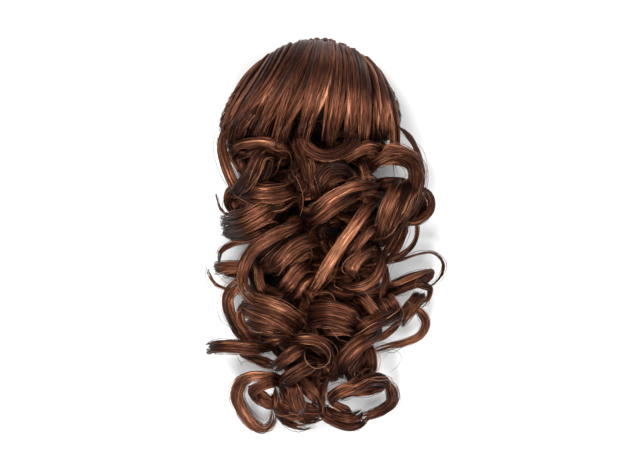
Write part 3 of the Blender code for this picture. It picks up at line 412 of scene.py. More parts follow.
# Single hairs that stray from the locks: a route for each
FLYAWAYS = (
    ((-104, -54, 20), (-109, -62, 18), (-111, -70, 16), (-110, -77, 14), (-106, -85, 12), (-94, -92, 14)),
    ((-112, -36, 18), (-107, -40, 20), (-101, -45, 22), (-91, -46, 26), (-80, -44, 34)),
    ((50, -110, 26), (60, -113, 24), (71, -114, 20), (76, -120, 16), (74, -128, 12), (60, -139, 12)),
    ((48, -110, 26), (53, -117, 24), (55, -124, 20), (52, -134, 16), (44, -142, 16)),
    ((-20, 64, 60), (-30, 62, 62), (-27, 54, 62), (-24, 45, 62), (-24, 30, 60), (-28, 18, 58)),
    ((-28, 122, 66), (-20, 118, 72), (-8, 115, 74), (3, 117, 74), (12, 112, 72), (20, 104, 68)),
    ((-100, 114, 38), (-93, 110, 44), (-80, 106, 52), (-66, 108, 58), (-54, 112, 62)),
    ((38, -48, 58), (42, -56, 58), (46, -62, 56), (48, -68, 52), (46, -78, 44)),
    ((30, 58, 60), (35, 50, 62), (38, 42, 60), (38, 35, 56), (34, 26, 54)),
    ((-98, -56, 26), (-105, -66, 20), (-103, -71, 18), (-98, -75, 20), (-88, -78, 28)),
    ((-92, -92, 22), (-84, -98, 24), (-76, -106, 24), (-70, -116, 22)),
    ((-22, -106, 58), (-20, -124, 56), (-10, -131, 52), (2, -126, 50), (5, -116, 52), (-2, -105, 54),
        (-14, -103, 56)),
    ((84, 100, 34), (96, 92, 28), (102, 78, 24), (102, 62, 22), (96, 48, 24)),
    ((-60, -196, 8), (-72, -198, 6), (-84, -190, 6), (-92, -176, 8), (-94, -160, 14)),
    ((66, -148, 14), (74, -156, 10), (75, -168, 8), (68, -178, 6), (56, -184, 6)),
    ((104, -10, 22), (114, -16, 18), (122, -26, 12), (120, -40, 8), (108, -50, 10)),
    ((-108, 112, 30), (-114, 96, 26), (-112, 78, 24), (-106, 62, 26), (-98, 50, 32)),
    ((-118, -24, 16), (-122, -34, 14), (-121, -44, 14), (-114, -52, 16)),
)


def number_property(name, about, start, least, most, unit="NONE"):
    """A number in the sidebar."""
    return bpy.props.FloatProperty(name=name, description=about, default=start, min=least, max=most,
                                   precision=5, unit=unit)


def count_property(name, about, start, least, most):
    """A whole number in the sidebar."""
    return bpy.props.IntProperty(name=name, description=about, default=start, min=least, max=most)


def colour_property(name, about, start):
    """An opaque colour in the sidebar."""
    return bpy.props.FloatVectorProperty(name=name, description=about, subtype="COLOR", size=4,
                                         default=start + (1.0,), min=0.0, max=1.0)


class HairSizes(bpy.types.PropertyGroup):
    """Sizes of the ridges, strands and stray hairs."""

    ridge_height: number_property(
        "Ridge height", "How far the ridges of a lock stand up", 0.00045, 0.0, 0.002, "LENGTH")
    strand_radius: number_property(
        "Strand radius", "Radius of a loose strand", 0.00024, 0.0001, 0.001, "LENGTH")
    strand_wander: number_property(
        "Strand wander", "How far a strand strays from its lock", 0.0011, 0.0, 0.005, "LENGTH")
    strands_per_step: number_property(
        "Strands per step", "Strands on each step of a lock's width", 1.8, 0.2, 4.0)
    crown_strands: count_property("Crown strands", "Strands combed over the crown", 850, 20, 1200)
    inner_curls: count_property("Inner curls", "Short curls over the inner mass", 130, 0, 400)
    hair_radius: number_property(
        "Stray hair radius", "Radius of a single stray hair", 0.00022, 0.00005, 0.0005, "LENGTH")
    stray_hairs: count_property(
        "Stray hairs", "Stray hairs besides those with a route of their own", 190, 0, 400)
    seed: count_property("Seed", "Start of the random numbers", 7, 0, 1000000)


class HairColours(bpy.types.PropertyGroup):
    """Colours of the hair and the clip."""

    # deep brown is also the colour of the painted shade, copper also that of the painted highlights, both
    # carried by the tone
    deep: colour_property("Deep brown", "Hair between the streaks, and in painted shade", (0.017, 0.0050, 0.0026))
    middle: colour_property("Chestnut", "Most of the hair", (0.120, 0.0345, 0.0150))
    light: colour_property("Copper streaks and painted highlights", "Lightest streaks, and the painted highlights on crests", (0.62, 0.270, 0.145))
    # near-black inner hair: painted shade for the gaps between the curls
    inner: colour_property("Inner hair", "Hair deep inside the piece, near black as painted shade", (0.010, 0.005, 0.004))
    clip: colour_property("Clip plastic", "Plastic of the claw clip", (0.040, 0.020, 0.013))


class StageSizes(bpy.types.PropertyGroup):
    """Camera and light of the photograph."""

    picture_width: number_property(
        "Picture width", "What the picture spans at the hair's height", 0.535, 0.1, 2.0, "LENGTH")
    camera_height: number_property(
        "Camera height", "Height of the camera over the surface", 2.0, 0.5, 5.0, "LENGTH")
    key_power: number_property(
        "Key light", "Power of the large light at the upper left", 24.0, 0.0, 500.0, "POWER")
    fill_power: number_property(
        "Fill lights", "Power of the lights at the lower edge and the right", 22.0, 0.0, 500.0, "POWER")
    sky: number_property("Room light", "Strength of the even light from all round", 0.40, 0.0, 3.0)
    floor: colour_property("Surface", "Pale surface under the hairpiece", (0.86, 0.86, 0.865))


class Link:
    """An output of a material's node, so that shader maths is written as an expression."""

    def __init__(self, shading, socket):
        self.shading = shading
        self.socket = socket

    def maths(self, operation, first, second):
        """Math node with this operation on two values or links."""
        return self.shading.add("ShaderNodeMath", {"operation": operation}, {0: first, 1: second})

    def __add__(self, other):
        return self.maths("ADD", self, other)

    def __radd__(self, other):
        return self.maths("ADD", other, self)

    def __sub__(self, other):
        return self.maths("SUBTRACT", self, other)

    def __rsub__(self, other):
        return self.maths("SUBTRACT", other, self)

    def __mul__(self, other):
        return self.maths("MULTIPLY", self, other)

    def __rmul__(self, other):
        return self.maths("MULTIPLY", other, self)


class Shading:
    """Nodes of one material, round its Principled shader."""

    def __init__(self, name):
        self.material = bpy.data.materials.new(name)
        self.material.use_nodes = True
        self.tree = self.material.node_tree
        self.shader = self.tree.nodes["Principled BSDF"]

    def add(self, kind, settings, inputs, output=0):
        """Node of a type: its settings are set first, then its sockets' values or links."""
        node = self.tree.nodes.new(kind)
        for name, value in settings.items():
            if name == "stops":
                ramp = node.color_ramp
                while len(ramp.elements) < len(value):
                    ramp.elements.new(0.5)
                for element, (place, colour) in zip(ramp.elements, value):
                    element.position = place
                    element.color = colour
            else:
                setattr(node, name, value)
        for name, value in inputs.items():
            self.feed(node.inputs[name], value)
        return Link(self, node.outputs[output])

    def feed(self, socket, value):
        """Give a socket a link or a value."""
        if isinstance(value, Link):
            self.tree.links.new(value.socket, socket)
        else:
            socket.default_value = value

    def finish(self, **inputs):
        """Feed the Principled shader, whose socket names are written with underscores here."""
        for name, value in inputs.items():
            self.feed(self.shader.inputs[name.replace("_", " ")], value)
        return self.material


def strand_coordinates(shading):
    """The piece's strand map, stretched so that a pattern is thin across the strands and long along them."""
    strand_map = shading.add("ShaderNodeUVMap", {"uv_map": "strands"}, {})
    return shading.add("ShaderNodeVectorMath", {"operation": "MULTIPLY"},
                       {0: strand_map, 1: STRETCH})


def hair_material(name, deep, middle, light, metallic, shine):
    """Brown fibres: thin streaks from deep brown to copper, toned lock by lock and given painted highlights
    and painted shade through the tone, with a fine grain.
    """
    shading = Shading(name)
    place = strand_coordinates(shading)
    fine = shading.add("ShaderNodeTexNoise", {}, {"Vector": place, "Scale": FINE_SCALE, "Detail": 2.0})
    broad = shading.add("ShaderNodeTexNoise", {}, {"Vector": place, "Scale": BROAD_SCALE, "Detail": 2.0})
    tone = shading.add("ShaderNodeAttribute", {"attribute_name": "tone"}, {}, output=2)
    # the tone carries painted highlight and painted shade as well as each lock's own random tone
    streaks_and_painted_light = fine * FINE_PART + broad * BROAD_PART + tone * PAINTED_LIGHT_AND_TONE_PART - RAMP_OFF
    stops = tuple(zip(RAMP, (deep, middle, light)))
    colour = shading.add("ShaderNodeValToRGB", {"stops": stops}, {"Fac": streaks_and_painted_light})
    grain = shading.add("ShaderNodeBump", {}, {"Strength": 0.7, "Distance": 0.0006, "Height": fine + broad})
    return shading.finish(Base_Color=colour, Roughness=0.27 + fine * 0.20, Metallic=metallic,
                          Normal=grain, Specular_IOR_Level=shine)


def clip_material(colour):
    """Moulded brown plastic: glossy, with a faint unevenness and slightly duller patches."""
    shading = Shading("clip plastic")
    place = shading.add("ShaderNodeTexCoord", {}, {}, output="Object")
    cloud = shading.add("ShaderNodeTexNoise", {}, {"Vector": place, "Scale": 90.0, "Detail": 3.0})
    pores = shading.add("ShaderNodeTexNoise", {}, {"Vector": place, "Scale": 1400.0, "Detail": 1.0})
    lighter = tuple(min(1.0, part * 1.7) for part in colour[:3]) + (1.0,)
    blend = shading.add("ShaderNodeValToRGB", {"stops": ((0.35, colour), (0.75, lighter))}, {"Fac": cloud})
    bump = shading.add("ShaderNodeBump", {}, {"Strength": 0.12, "Distance": 0.0003, "Height": pores})
    return shading.finish(Base_Color=blend, Roughness=0.22 + cloud * 0.16, Normal=bump)


def floor_material(colour):
    """Matt pale surface with a barely visible mottle."""
    shading = Shading("pale surface")
    place = shading.add("ShaderNodeTexCoord", {}, {}, output="Object")
    mottle = shading.add("ShaderNodeTexNoise", {}, {"Vector": place, "Scale": 4.0, "Detail": 2.0})
    darker = tuple(part * 0.985 for part in colour[:3]) + (1.0,)
    blend = shading.add("ShaderNodeValToRGB", {"stops": ((0.3, darker), (0.7, colour))}, {"Fac": mottle})
    return shading.finish(Base_Color=blend, Roughness=0.85)


def unit(vectors):
    """Each vector divided by its own length."""
    return vectors / np.linalg.norm(vectors, axis=-1, keepdims=True)


def hermite(knots, values, where):
    """Cubic pieces through the values, whose slopes come from the neighbouring knots."""
    slopes = np.gradient(values, knots, axis=0)
    where = np.clip(where, knots[0], knots[-1])
    i = np.clip(np.searchsorted(knots, where, side="right") - 1, 0, len(knots) - 2)
    span = (knots[i + 1] - knots[i])[:, None]
    u = (where - knots[i])[:, None] / span
    rise = u * u * (3.0 - 2.0 * u)
    ends = values[i] * (1.0 - rise) + values[i + 1] * rise
    return ends + span * (slopes[i] * u * (1.0 - u) ** 2 - slopes[i + 1] * u * u * (1.0 - u))


def section(column, y):
    """One column of the inner mass's table, read at any y on smooth cubic pieces."""
    rows = np.array(BACKING[::-1], float)
    y = np.asarray(y, float)
    return hermite(rows[:, 0], rows[:, column:column + 1], y.ravel())[:, 0].reshape(y.shape)


def crown_height(x, y):
    """Height of the combed crown: its crest times (1 - off-centre squared) to half the fullness."""
    left, right, crest = section(1, y), section(2, y), section(4, y)
    off_centre = np.clip(np.abs((2.0 * x - left - right) / (right - left)), 0.0, MOST_OFF_CENTRE)
    return crest * (1.0 - off_centre ** 2) ** (ARCH_FULLNESS / 2.0)


def smooth_paths(routes, stations):
    """Each route as a smooth curve through its points, with stations at even spacing, in metres."""
    paths = []
    for route in routes:
        route = np.array(route, float) * STEP
        knots = np.concatenate(([0.0], np.cumsum(np.linalg.norm(np.diff(route, axis=0), axis=1))))
        fine = hermite(knots, route, np.linspace(0.0, knots[-1], FINE_POINTS * len(route)))
        run = np.concatenate(([0.0], np.cumsum(np.linalg.norm(np.diff(fine, axis=0), axis=1))))
        even = np.linspace(0.0, run[-1], stations)
        paths.append(np.column_stack([np.interp(even, run, fine[:, axis]) for axis in range(3)]))
    return np.array(paths)


class Locks:
    """Many locks as arrays, a row for each: its path, its side directions and its half sizes."""

    def __init__(self, routes, widths, thicknesses, rolls, tips, stations):
        self.paths = smooth_paths(routes, stations)
        self.share = np.linspace(0.0, 1.0, stations)
        self.widths = np.array(widths, float)
        full, ends = np.interp(self.share, *LOCK_TAPER), np.interp(self.share, *TIP_TAPER)
        taper = full + ends * np.array(tips, float)[:, None]
        self.half_width = taper * self.widths[:, None] * LOCK_STEP / 2.0
        self.half_thickness = taper * np.array(thicknesses, float)[:, None] * LOCK_STEP / 2.0
        self.carry_sides()
        self.lean(np.radians(np.array(rolls, float)))

    def carry_sides(self):
        """Sides of every path: level at the middle station, then each is the one before it less its
        share along the tangent, made unit length again; outward is across times tangent."""
        tangents = unit(np.gradient(self.paths, axis=1))
        stations = len(self.share)
        middle = stations // 2
        across = np.zeros_like(self.paths)
        across[:, middle] = unit(np.cross(tangents[:, middle], (0.0, 0.0, 1.0)))
        order = [(here, here - 1) for here in range(middle + 1, stations)]
        order += [(here, here + 1) for here in range(middle - 1, -1, -1)]
        for here, before in order:
            tangent = tangents[:, here]
            side = across[:, before]
            across[:, here] = unit(side - tangent * (side * tangent).sum(axis=1, keepdims=True))
        self.across = across
        self.outward = np.cross(across, tangents)

    def lean(self, angles):
        """Turns every lock's face about its path by its own angle."""
        cosine, sine = np.cos(angles)[:, None, None], np.sin(angles)[:, None, None]
        across, outward = self.across, self.outward
        self.across = across * cosine + outward * sine
        self.outward = outward * cosine - across * sine

    def follow(self, owner, share, last_start, first_stop, rng):
        """Paths, half sizes and sides of curves that follow their owners' locks. Each starts at a random
        place up to the last start and stops at one from the first stop on, as shares of the length."""
        total = len(owner)
        start, stop = rng.uniform(0.0, last_start, (total, 1)), rng.uniform(first_stop, 1.0, (total, 1))
        where = (start + (stop - start) * share) * (len(self.share) - 1)
        wide, thick = self.half_width[..., None], self.half_thickness[..., None]
        paths, wide, thick, across, outward = (
            along(values, owner, where) for values in (self.paths, wide, thick, self.across, self.outward))
        return paths, wide[..., 0], thick[..., 0], across, outward

    def split(self, counts, stations, rng, last_start=0.05, start_size=0.45):
        """Thinner locks side by side in each lock: path + across * place * half width + outward * lift,
        where place runs evenly over the width and both stray by slow sines that grow at the ends. Each
        starts and ends a little short of the whole, begins at its start size and is drawn out thin."""
        owner = np.repeat(np.arange(len(counts)), counts)
        total = len(owner)
        number = np.arange(total) - np.repeat(np.cumsum(counts) - counts, counts)
        place = (2.0 * (number + 0.5) / counts[owner] - 1.0)[:, None]
        share = np.linspace(0.0, 1.0, stations)
        thinner = object.__new__(Locks)
        thinner.share = share
        paths, half_width, half_thickness, across, outward = self.follow(
            owner, share, last_start, SPLIT_STOP, rng)
        thinner.across, thinner.outward = unit(across), unit(outward)
        thinner.widths = self.widths[owner] / counts[owner] * rng.uniform(*SPLIT_WIDTHS, total)
        sway = slow_sway(total, share, rng)
        loose = SPLIT_STRAY * loosening(share, 2.2) * rng.uniform(0.4, 1.4, (total, 1))
        inside = 1.0 - 0.5 / counts[owner][:, None]
        aside = place * inside * half_width + sway[0] * loose
        lift = rng.uniform(*SPLIT_LIFTS, (total, 1)) * (1.0 - 0.5 * place ** 2) * half_thickness
        lift = lift + sway[1] * loose
        thinner.paths = paths + thinner.across * aside[..., None] + thinner.outward * lift[..., None]
        drawn_out = np.interp(share, (0.0,) + SPLIT_FULL + (1.0,), (start_size, 1.0, 1.0, SPLIT_TIP))
        own = rng.uniform(*SPLIT_WIDTHS, (total, 1)) / counts[owner][:, None]
        thinner.half_width = half_width * own * drawn_out
        thinner.half_thickness = half_thickness * rng.uniform(*SPLIT_THICKNESSES, (total, 1)) * drawn_out
        thinner.lean(rng.normal(0.0, SPLIT_TURN, total))
        return owner, thinner


def along(values, owner, where):
    """Values at fractional stations of the owner's row, read on straight lines between stations."""
    low = np.clip(np.floor(where).astype(int), 0, values.shape[1] - 2)
    part = (where - low)[..., None]
    rows = owner[:, None]
    return values[rows, low] * (1.0 - part) + values[rows, low + 1] * part


def loosening(share, power):
    """How freely hair strays along its length: least + (off the middle, as 0 to 1) to the power."""
    return LEAST_LOOSE + np.abs(2.0 * share - 1.0) ** power


def slow_sway(total, share, rng):
    """Two wandering values along each of many curves: a sum of three sines with random speed and phase."""
    sway = np.zeros((2, total, len(share)))
    for wave in (1.0, 2.0, 3.5):
        phase = rng.uniform(0.0, 2.0 * math.pi, size=(2, total, 1))
        speed = wave * rng.uniform(0.7, 1.3, size=(2, total, 1))
        sway += np.sin(2.0 * math.pi * speed * share[None, None, :] + phase) / wave
    return sway


def lock_rings(locks, sides, ridge, rng):
    """Lens-shaped rings of every lock: path + across * cos * half width + outward * sin * half thickness,
    where both halves are swelled by ridges, a sum of cosines round the ring that drift along the lock."""
    turn = np.arange(sides) * 2.0 * math.pi / sides
    count = len(locks.paths)
    waves = rng.integers(2, sides // 2, size=(RIDGE_WAVES, count, 1, 1))
    phase = rng.uniform(0.0, 2.0 * math.pi, size=(RIDGE_WAVES, count, 1, 1))
    drift = rng.normal(0.0, RIDGE_DRIFT, size=(RIDGE_WAVES, count, 1, 1))
    share = locks.share[None, :, None]
    relief = np.cos(waves * turn[None, None, None, :] + phase + drift * share[None]).sum(axis=0) / RIDGE_SUM
    swell = relief * ridge
    wide = (locks.half_width[:, :, None] + swell) * np.cos(turn)
    thick = (locks.half_thickness[:, :, None] + swell) * np.sin(turn)
    return (locks.paths[:, :, None, :] + locks.across[:, :, None, :] * wide[..., None]
            + locks.outward[:, :, None, :] * thick[..., None])


def strand_rings(locks, counts, stations, radius, wander, reach, rng):
    """Three-sided tubes on the skin of the locks. A strand keeps its place round the lens, turns slowly,
    and strays by a sum of sines whose size grows towards both ends of the lock."""
    owner = np.repeat(np.arange(len(counts)), counts)
    total = len(owner)
    share = np.linspace(0.0, 1.0, stations)
    paths, half_width, half_thickness, across, outward = locks.follow(
        owner, share, STRAND_START, STRAND_STOP, rng)
    upper = rng.uniform(*UPPER_SIDE, total) * math.pi
    anywhere = rng.uniform(0.0, 2.0, total) * math.pi
    angle = np.where(rng.random(total) < UPPER_SHARE, upper, anywhere)[:, None]
    angle = angle + rng.normal(0.0, STRAND_TURN, total)[:, None] * (share - 0.5)
    out = rng.normal(reach, SKIN_STEP, total)[:, None]
    loose = wander * rng.gamma(1.4, 0.7, total)[:, None] * loosening(share, 2.5)
    sway = slow_sway(total, share, rng)
    wide = np.cos(angle) * out * half_width + sway[0] * loose
    thick = np.sin(angle) * out * half_thickness + sway[1] * loose
    centre = paths + across * wide[..., None] + outward * thick[..., None]
    fade = np.clip(np.minimum(share, 1.0 - share) / STRAND_TAPER, STRAND_TIP, 1.0) ** 0.6
    thin = radius * fade * rng.uniform(0.65, 1.25, total)[:, None]
    return tube_rings(centre, unit(across), unit(outward), thin)


def tube_rings(centre, across, outward, radius):
    """Rings of three points: centre + (across * cos + outward * sin) * radius."""
    turn = math.pi / 2.0 + np.arange(3) * 2.0 * math.pi / 3.0
    spoke = (across[:, :, None, :] * np.cos(turn)[:, None]
             + outward[:, :, None, :] * np.sin(turn)[:, None])
    return centre[:, :, None, :] + spoke * radius[:, :, None, None]


def arch_ring(y, inset, low, points):
    """Arches across the piece: x = centre - half * cos(turn), z = crest * sin(turn) to the fullness."""
    left = section(1, y) * STEP[0] + inset
    right = section(2, y) * STEP[0] - inset
    crest = section(3, y) * STEP[2] * low - inset
    turn = np.linspace(0.0, math.pi, points)
    half = np.maximum(right - left, LEAST_WIDTH)[:, None] / 2.0
    x = (left + right)[:, None] / 2.0 - half * np.cos(turn)
    z = np.maximum(crest, LEAST_CREST)[:, None] * np.sin(turn) ** ARCH_FULLNESS
    return np.stack([x, np.broadcast_to(y[:, None] * STEP[1], x.shape), z], axis=-1)


def combed(rings, waves, height):
    """Shallow grooves along the rings: their height follows a cosine of the place round the ring."""
    sides = rings.shape[1]
    groove = np.cos(np.linspace(0.0, waves * 2.0 * math.pi, sides)) * np.sin(np.linspace(0.0, math.pi, sides))
    rings[..., 2] += groove * height
    return rings


def corner_places(*corners):
    """Map places of each face's corners: every (across, along) pair spread over all the faces."""
    return np.stack([np.stack(np.broadcast_arrays(*corner), axis=-1) for corner in corners], axis=-2)


def loft_object(name, rings, tones, material):
    """One closed mesh of many lofts: rings joined station by station, with both ends fanned shut.
    The strand map holds metres round and along each loft; the tone, which also carries painted highlight and
    painted shade, is the loft's own, or one a station."""
    rings[..., 2] = np.maximum(rings[..., 2], FLOOR_GAP)
    lofts, stations, sides = rings.shape[:3]
    size = stations * sides + 2
    ends = rings[:, [0, -1]].mean(axis=2)
    points = np.concatenate([rings.reshape(lofts, -1, 3), ends], axis=1).reshape(-1, 3)
    first = (np.arange(lofts) * size)[:, None, None]
    station = np.arange(stations - 1)[None, :, None]
    side = np.arange(sides)[None, None, :]
    after = (side + 1) % sides
    quads = np.stack([first + station * sides + side, first + (station + 1) * sides + side,
                      first + (station + 1) * sides + after, first + station * sides + after], axis=-1)
    last = first + (stations - 1) * sides
    flat = np.zeros_like(first + side)
    start_fan = np.stack([first + side, first + after, flat + first + stations * sides], axis=-1)
    end_fan = np.stack([last + after, last + side, flat + first + stations * sides + 1], axis=-1)

    closed = np.concatenate([rings, rings[:, :, :1]], axis=2)
    around = np.linalg.norm(np.diff(closed, axis=2), axis=-1).sum(axis=2).mean(axis=1)
    middles = rings.mean(axis=2)
    runs = np.linalg.norm(np.diff(middles, axis=1), axis=-1)
    length = np.concatenate([np.zeros((lofts, 1)), np.cumsum(runs, axis=1)], axis=1)
    pitch = (around / sides)[:, None, None]
    begin = (np.arange(lofts) * MAP_SHIFT)[:, None, None]
    here, there = length[:, :-1, None], length[:, 1:, None]
    u0, u1 = begin + side * pitch, begin + (side + 1) * pitch
    start, stop = length[:, :1, None], length[:, -1:, None]
    quad_map = corner_places((u0, here), (u0, there), (u1, there), (u1, here))
    start_map = corner_places((u0, start), (u1, start), (u0, start))
    end_map = corner_places((u1, stop), (u0, stop), (u0, stop))

    corners = np.concatenate([quads.reshape(-1), start_fan.reshape(-1), end_fan.reshape(-1)])
    strand_map = np.concatenate([quad_map.reshape(-1, 2), start_map.reshape(-1, 2), end_map.reshape(-1, 2)])
    faces = np.concatenate([np.full(quads[..., 0].size, 4), np.full(2 * start_fan[..., 0].size, 3)])
    mesh = bpy.data.meshes.new(name)
    mesh.vertices.add(len(points))
    mesh.vertices.foreach_set("co", points.ravel().astype(np.float32))
    mesh.loops.add(len(corners))
    mesh.loops.foreach_set("vertex_index", corners.astype(np.int32))
    mesh.polygons.add(len(faces))
    mesh.polygons.foreach_set("loop_start", np.concatenate(([0], np.cumsum(faces)[:-1])).astype(np.int32))
    mesh.update(calc_edges=True)
    mesh.uv_layers.new(name="strands").uv.foreach_set("vector", strand_map.ravel().astype(np.float32))
    tones = np.broadcast_to(np.reshape(tones, (lofts, -1)), (lofts, stations))
    tones = np.concatenate([np.repeat(tones, sides, axis=1), tones[:, [0, -1]]], axis=1)
    # the tone attribute holds each lock's random tone plus painted highlight and painted shade
    tone = mesh.attributes.new("tone", "FLOAT", "POINT")
    tone.data.foreach_set("value", tones.ravel().astype(np.float32))
    mesh.shade_smooth()
    mesh.materials.append(material)
    obj = bpy.data.objects.new(name, mesh)
    bpy.context.scene.collection.objects.link(obj)
    return obj


def dress(obj, node):
    """A finished hair piece: it rides on the body and stands for a node of the CAD hair, which is hidden."""
    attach(obj, BODY)
    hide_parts(node)


def crown_routes(rows, drop, run_out):
    """Routes of crown locks: from a foot near the surface up the wall to the root, then a quadratic curve
    in plan over the crown, then down behind the ends."""
    rows = np.asarray(rows, float)
    t = np.linspace(0.0, 1.0, 6)[None, :, None]
    root, middle, end = rows[:, None, 0:2], rows[:, None, 2:4], rows[:, None, 4:6]
    bow = 2.0 * middle - (root + end) / 2.0
    plan = root * (1.0 - t) ** 2 + bow * 2.0 * t * (1.0 - t) + end * t * t
    top = crown_height(plan[..., 0], plan[..., 1]) + rows[:, 7:8]
    run = unit(plan[:, -1] - plan[:, -2])
    drop, run = drop[:, None], run * run_out[:, None]
    near = np.concatenate([plan[:, -1] + run, top[:, -1:] - drop * NEAR_DROP], axis=1)
    far = np.concatenate([plan[:, -1] + run * FAR_RUN, top[:, -1:] - drop], axis=1)
    over = np.concatenate([plan, top[..., None]], axis=2)
    foot = rows[:, 0:2] + unit(rows[:, 0:2] - CROWN_CENTRE) * HEM_REACH
    low = np.concatenate([foot, np.full_like(drop, HEM_LOW)], axis=1)
    risen = np.concatenate([foot, top[:, :1] * WALL_SHARE], axis=1)
    return np.concatenate([low[:, None], risen[:, None], over, near[:, None], far[:, None]], axis=1)


def crown_painted_light(share):
    """Painted light along the combed hair's length: painted shade from the roots over the top of the crown, a
    painted highlight on its front slope, and painted shade again where the ends turn under."""
    return np.interp(share, *CROWN_PAINTED_LIGHT)


def crest_painted_light(rings):
    """Painted light on each curl along its length: its height over its own lowest point, as a share of its
    rise, squared, less its steepness squared. It gets a painted highlight on its crest and painted shade
    where it dives."""
    middles = rings.mean(axis=2)
    height = middles[..., 2]
    lowest, highest = height.min(axis=1, keepdims=True), height.max(axis=1, keepdims=True)
    crest = (height - lowest) / (highest - lowest + CREST_RISE)
    steep = unit(np.gradient(middles, axis=1))[..., 2]
    return CREST_PAINTED_HIGHLIGHT * crest ** 2 - TONE_OFF - STEEP_PAINTED_SHADE * steep ** 2


def spread(values, stations):
    """Each row of values read at evenly spaced stations."""
    where = np.linspace(0, values.shape[1] - 1, stations).round().astype(int)
    return values[:, where]


def hump(shape, places):
    """A smooth hump over the crown's places: most * e to the minus ((place - middle) / spread) squared."""
    most, middle, reach = shape
    return most * np.exp(-((places - middle) / reach) ** 2)


def clumped(rows, places, rng):
    """Crown rows with their ends swept to the left, drawn back where the photo's are short, and gathered:
    an end moves a share of the way to its nearest clump's own end, and reaches further down the nearer it
    is. The ends then stray a little at random."""
    centres, longer = np.array(CROWN_CLUMPS, float).T
    nearest = np.abs(places[:, None] - centres).argmin(axis=1)
    target = between_rows(centres[nearest])
    off = np.clip(np.abs(places - centres[nearest]), 0.0, 1.0)
    rows = rows.copy()
    sweep = hump(END_SWEEP, places)
    rows[:, 4] -= sweep
    rows[:, 2] -= sweep * MIDDLE_SWEEP
    rows[:, 5] += hump(SHORT_LEFT, places) + hump(SHORT_RIGHT, places)
    target[:, 4] -= hump(END_SWEEP, centres[nearest])
    rows[:, 4:6] += (target[:, 4:6] - rows[:, 4:6]) * CLUMP_PULL
    rows[:, 5] += (off - 0.5) * CLUMP_STAGGER - longer[nearest]
    rows[:, 7] += CLUMP_LIFT * (1.0 - off)
    rows[:, 4:6] += rng.normal(0.0, END_STRAY, (len(rows), 2))
    return rows


def between_rows(places):
    """Rows of the crown's table read between its locks."""
    table = np.array(CROWN_LOCKS, float)
    low = np.clip(np.floor(places).astype(int), 0, len(table) - 2)
    part = (places - low)[:, None]
    return table[low] * (1.0 - part) + table[low + 1] * part


def hem_rows(rng):
    """Rows of the crown's hem: short locks down its wall, all round from the left front over the back to
    the right front. They stand on the outline and lean forward at the sides, as the crown is combed."""
    back = BACKING[0][0] - 0.5
    sides = np.linspace(HEM_FRONT, back, HEM_SIDE_LOCKS)
    across = np.linspace(section(1, back), section(2, back), HEM_BACK_LOCKS)
    outline = np.concatenate([
        np.column_stack([section(1, sides), sides]),
        np.column_stack([across, np.full(HEM_BACK_LOCKS, back)]),
        np.column_stack([section(2, sides), sides])[::-1]])
    outward = unit(outline - CROWN_CENTRE)
    crest = crown_height(*(outline - outward * HEM_INSET).T)
    lean = HEM_LEAN * np.clip((back - outline[:, 1]) / HEM_LEAN_LENGTH, 0.0, 1.0)
    for (x, y), (out_x, out_y), high, forward in zip(outline, outward, crest, lean):
        loose = rng.uniform(-0.6, 0.6)
        yield HEM_WIDTH, HEM_THICKNESS, 0.0, 1.0, (
            (x - out_x * 9, y - out_y * 9 + forward, high * 0.80),
            (x + out_x * loose * 0.4, y + out_y * loose * 0.4 + forward * 0.4, high * 0.62),
            (x + out_x * loose, y + out_y * loose - forward * 0.4, high * 0.30),
            (x + out_x * loose * 0.8, y + out_y * loose * 0.8 - forward, HEM_LOW),
        )


def under_curl_rows():
    """Rows of the under-curls: from the inner mass's shoulder out over its edge and back in below."""
    for side, first, last, count, width, reach in UNDER_CURLS:
        for number, y in enumerate(np.linspace(first, last, count)):
            edge = float(section(1 if side < 0 else 2, y))
            crest = float(section(3, y))
            lean = UNDER_LEAN * (1 if number % 2 else -1)
            yield width, UNDER_THICKNESS, 0.0, 0.8, (
                (edge - side * 26, y + lean, crest * 0.80),
                (edge - side * 8, y + lean / 2, crest * 0.82),
                (edge + side * reach, y, crest * 0.50),
                (edge + side * (reach - 1), y - lean / 2, crest * 0.20),
                (edge - side * 12, y - lean, crest * 0.05),
            )


def locks_from_rows(rows, stations):
    """Locks of a table whose rows hold width, thickness, roll, tip and route."""
    widths, thicknesses, rolls, tips, routes = zip(*rows)
    return Locks(routes, widths, thicknesses, rolls, tips, stations)


def hair_colours():
    """The chosen hair colours as plain tuples."""
    colours = bpy.context.scene.hair_colours
    return tuple(colours.deep), tuple(colours.middle), tuple(colours.light)


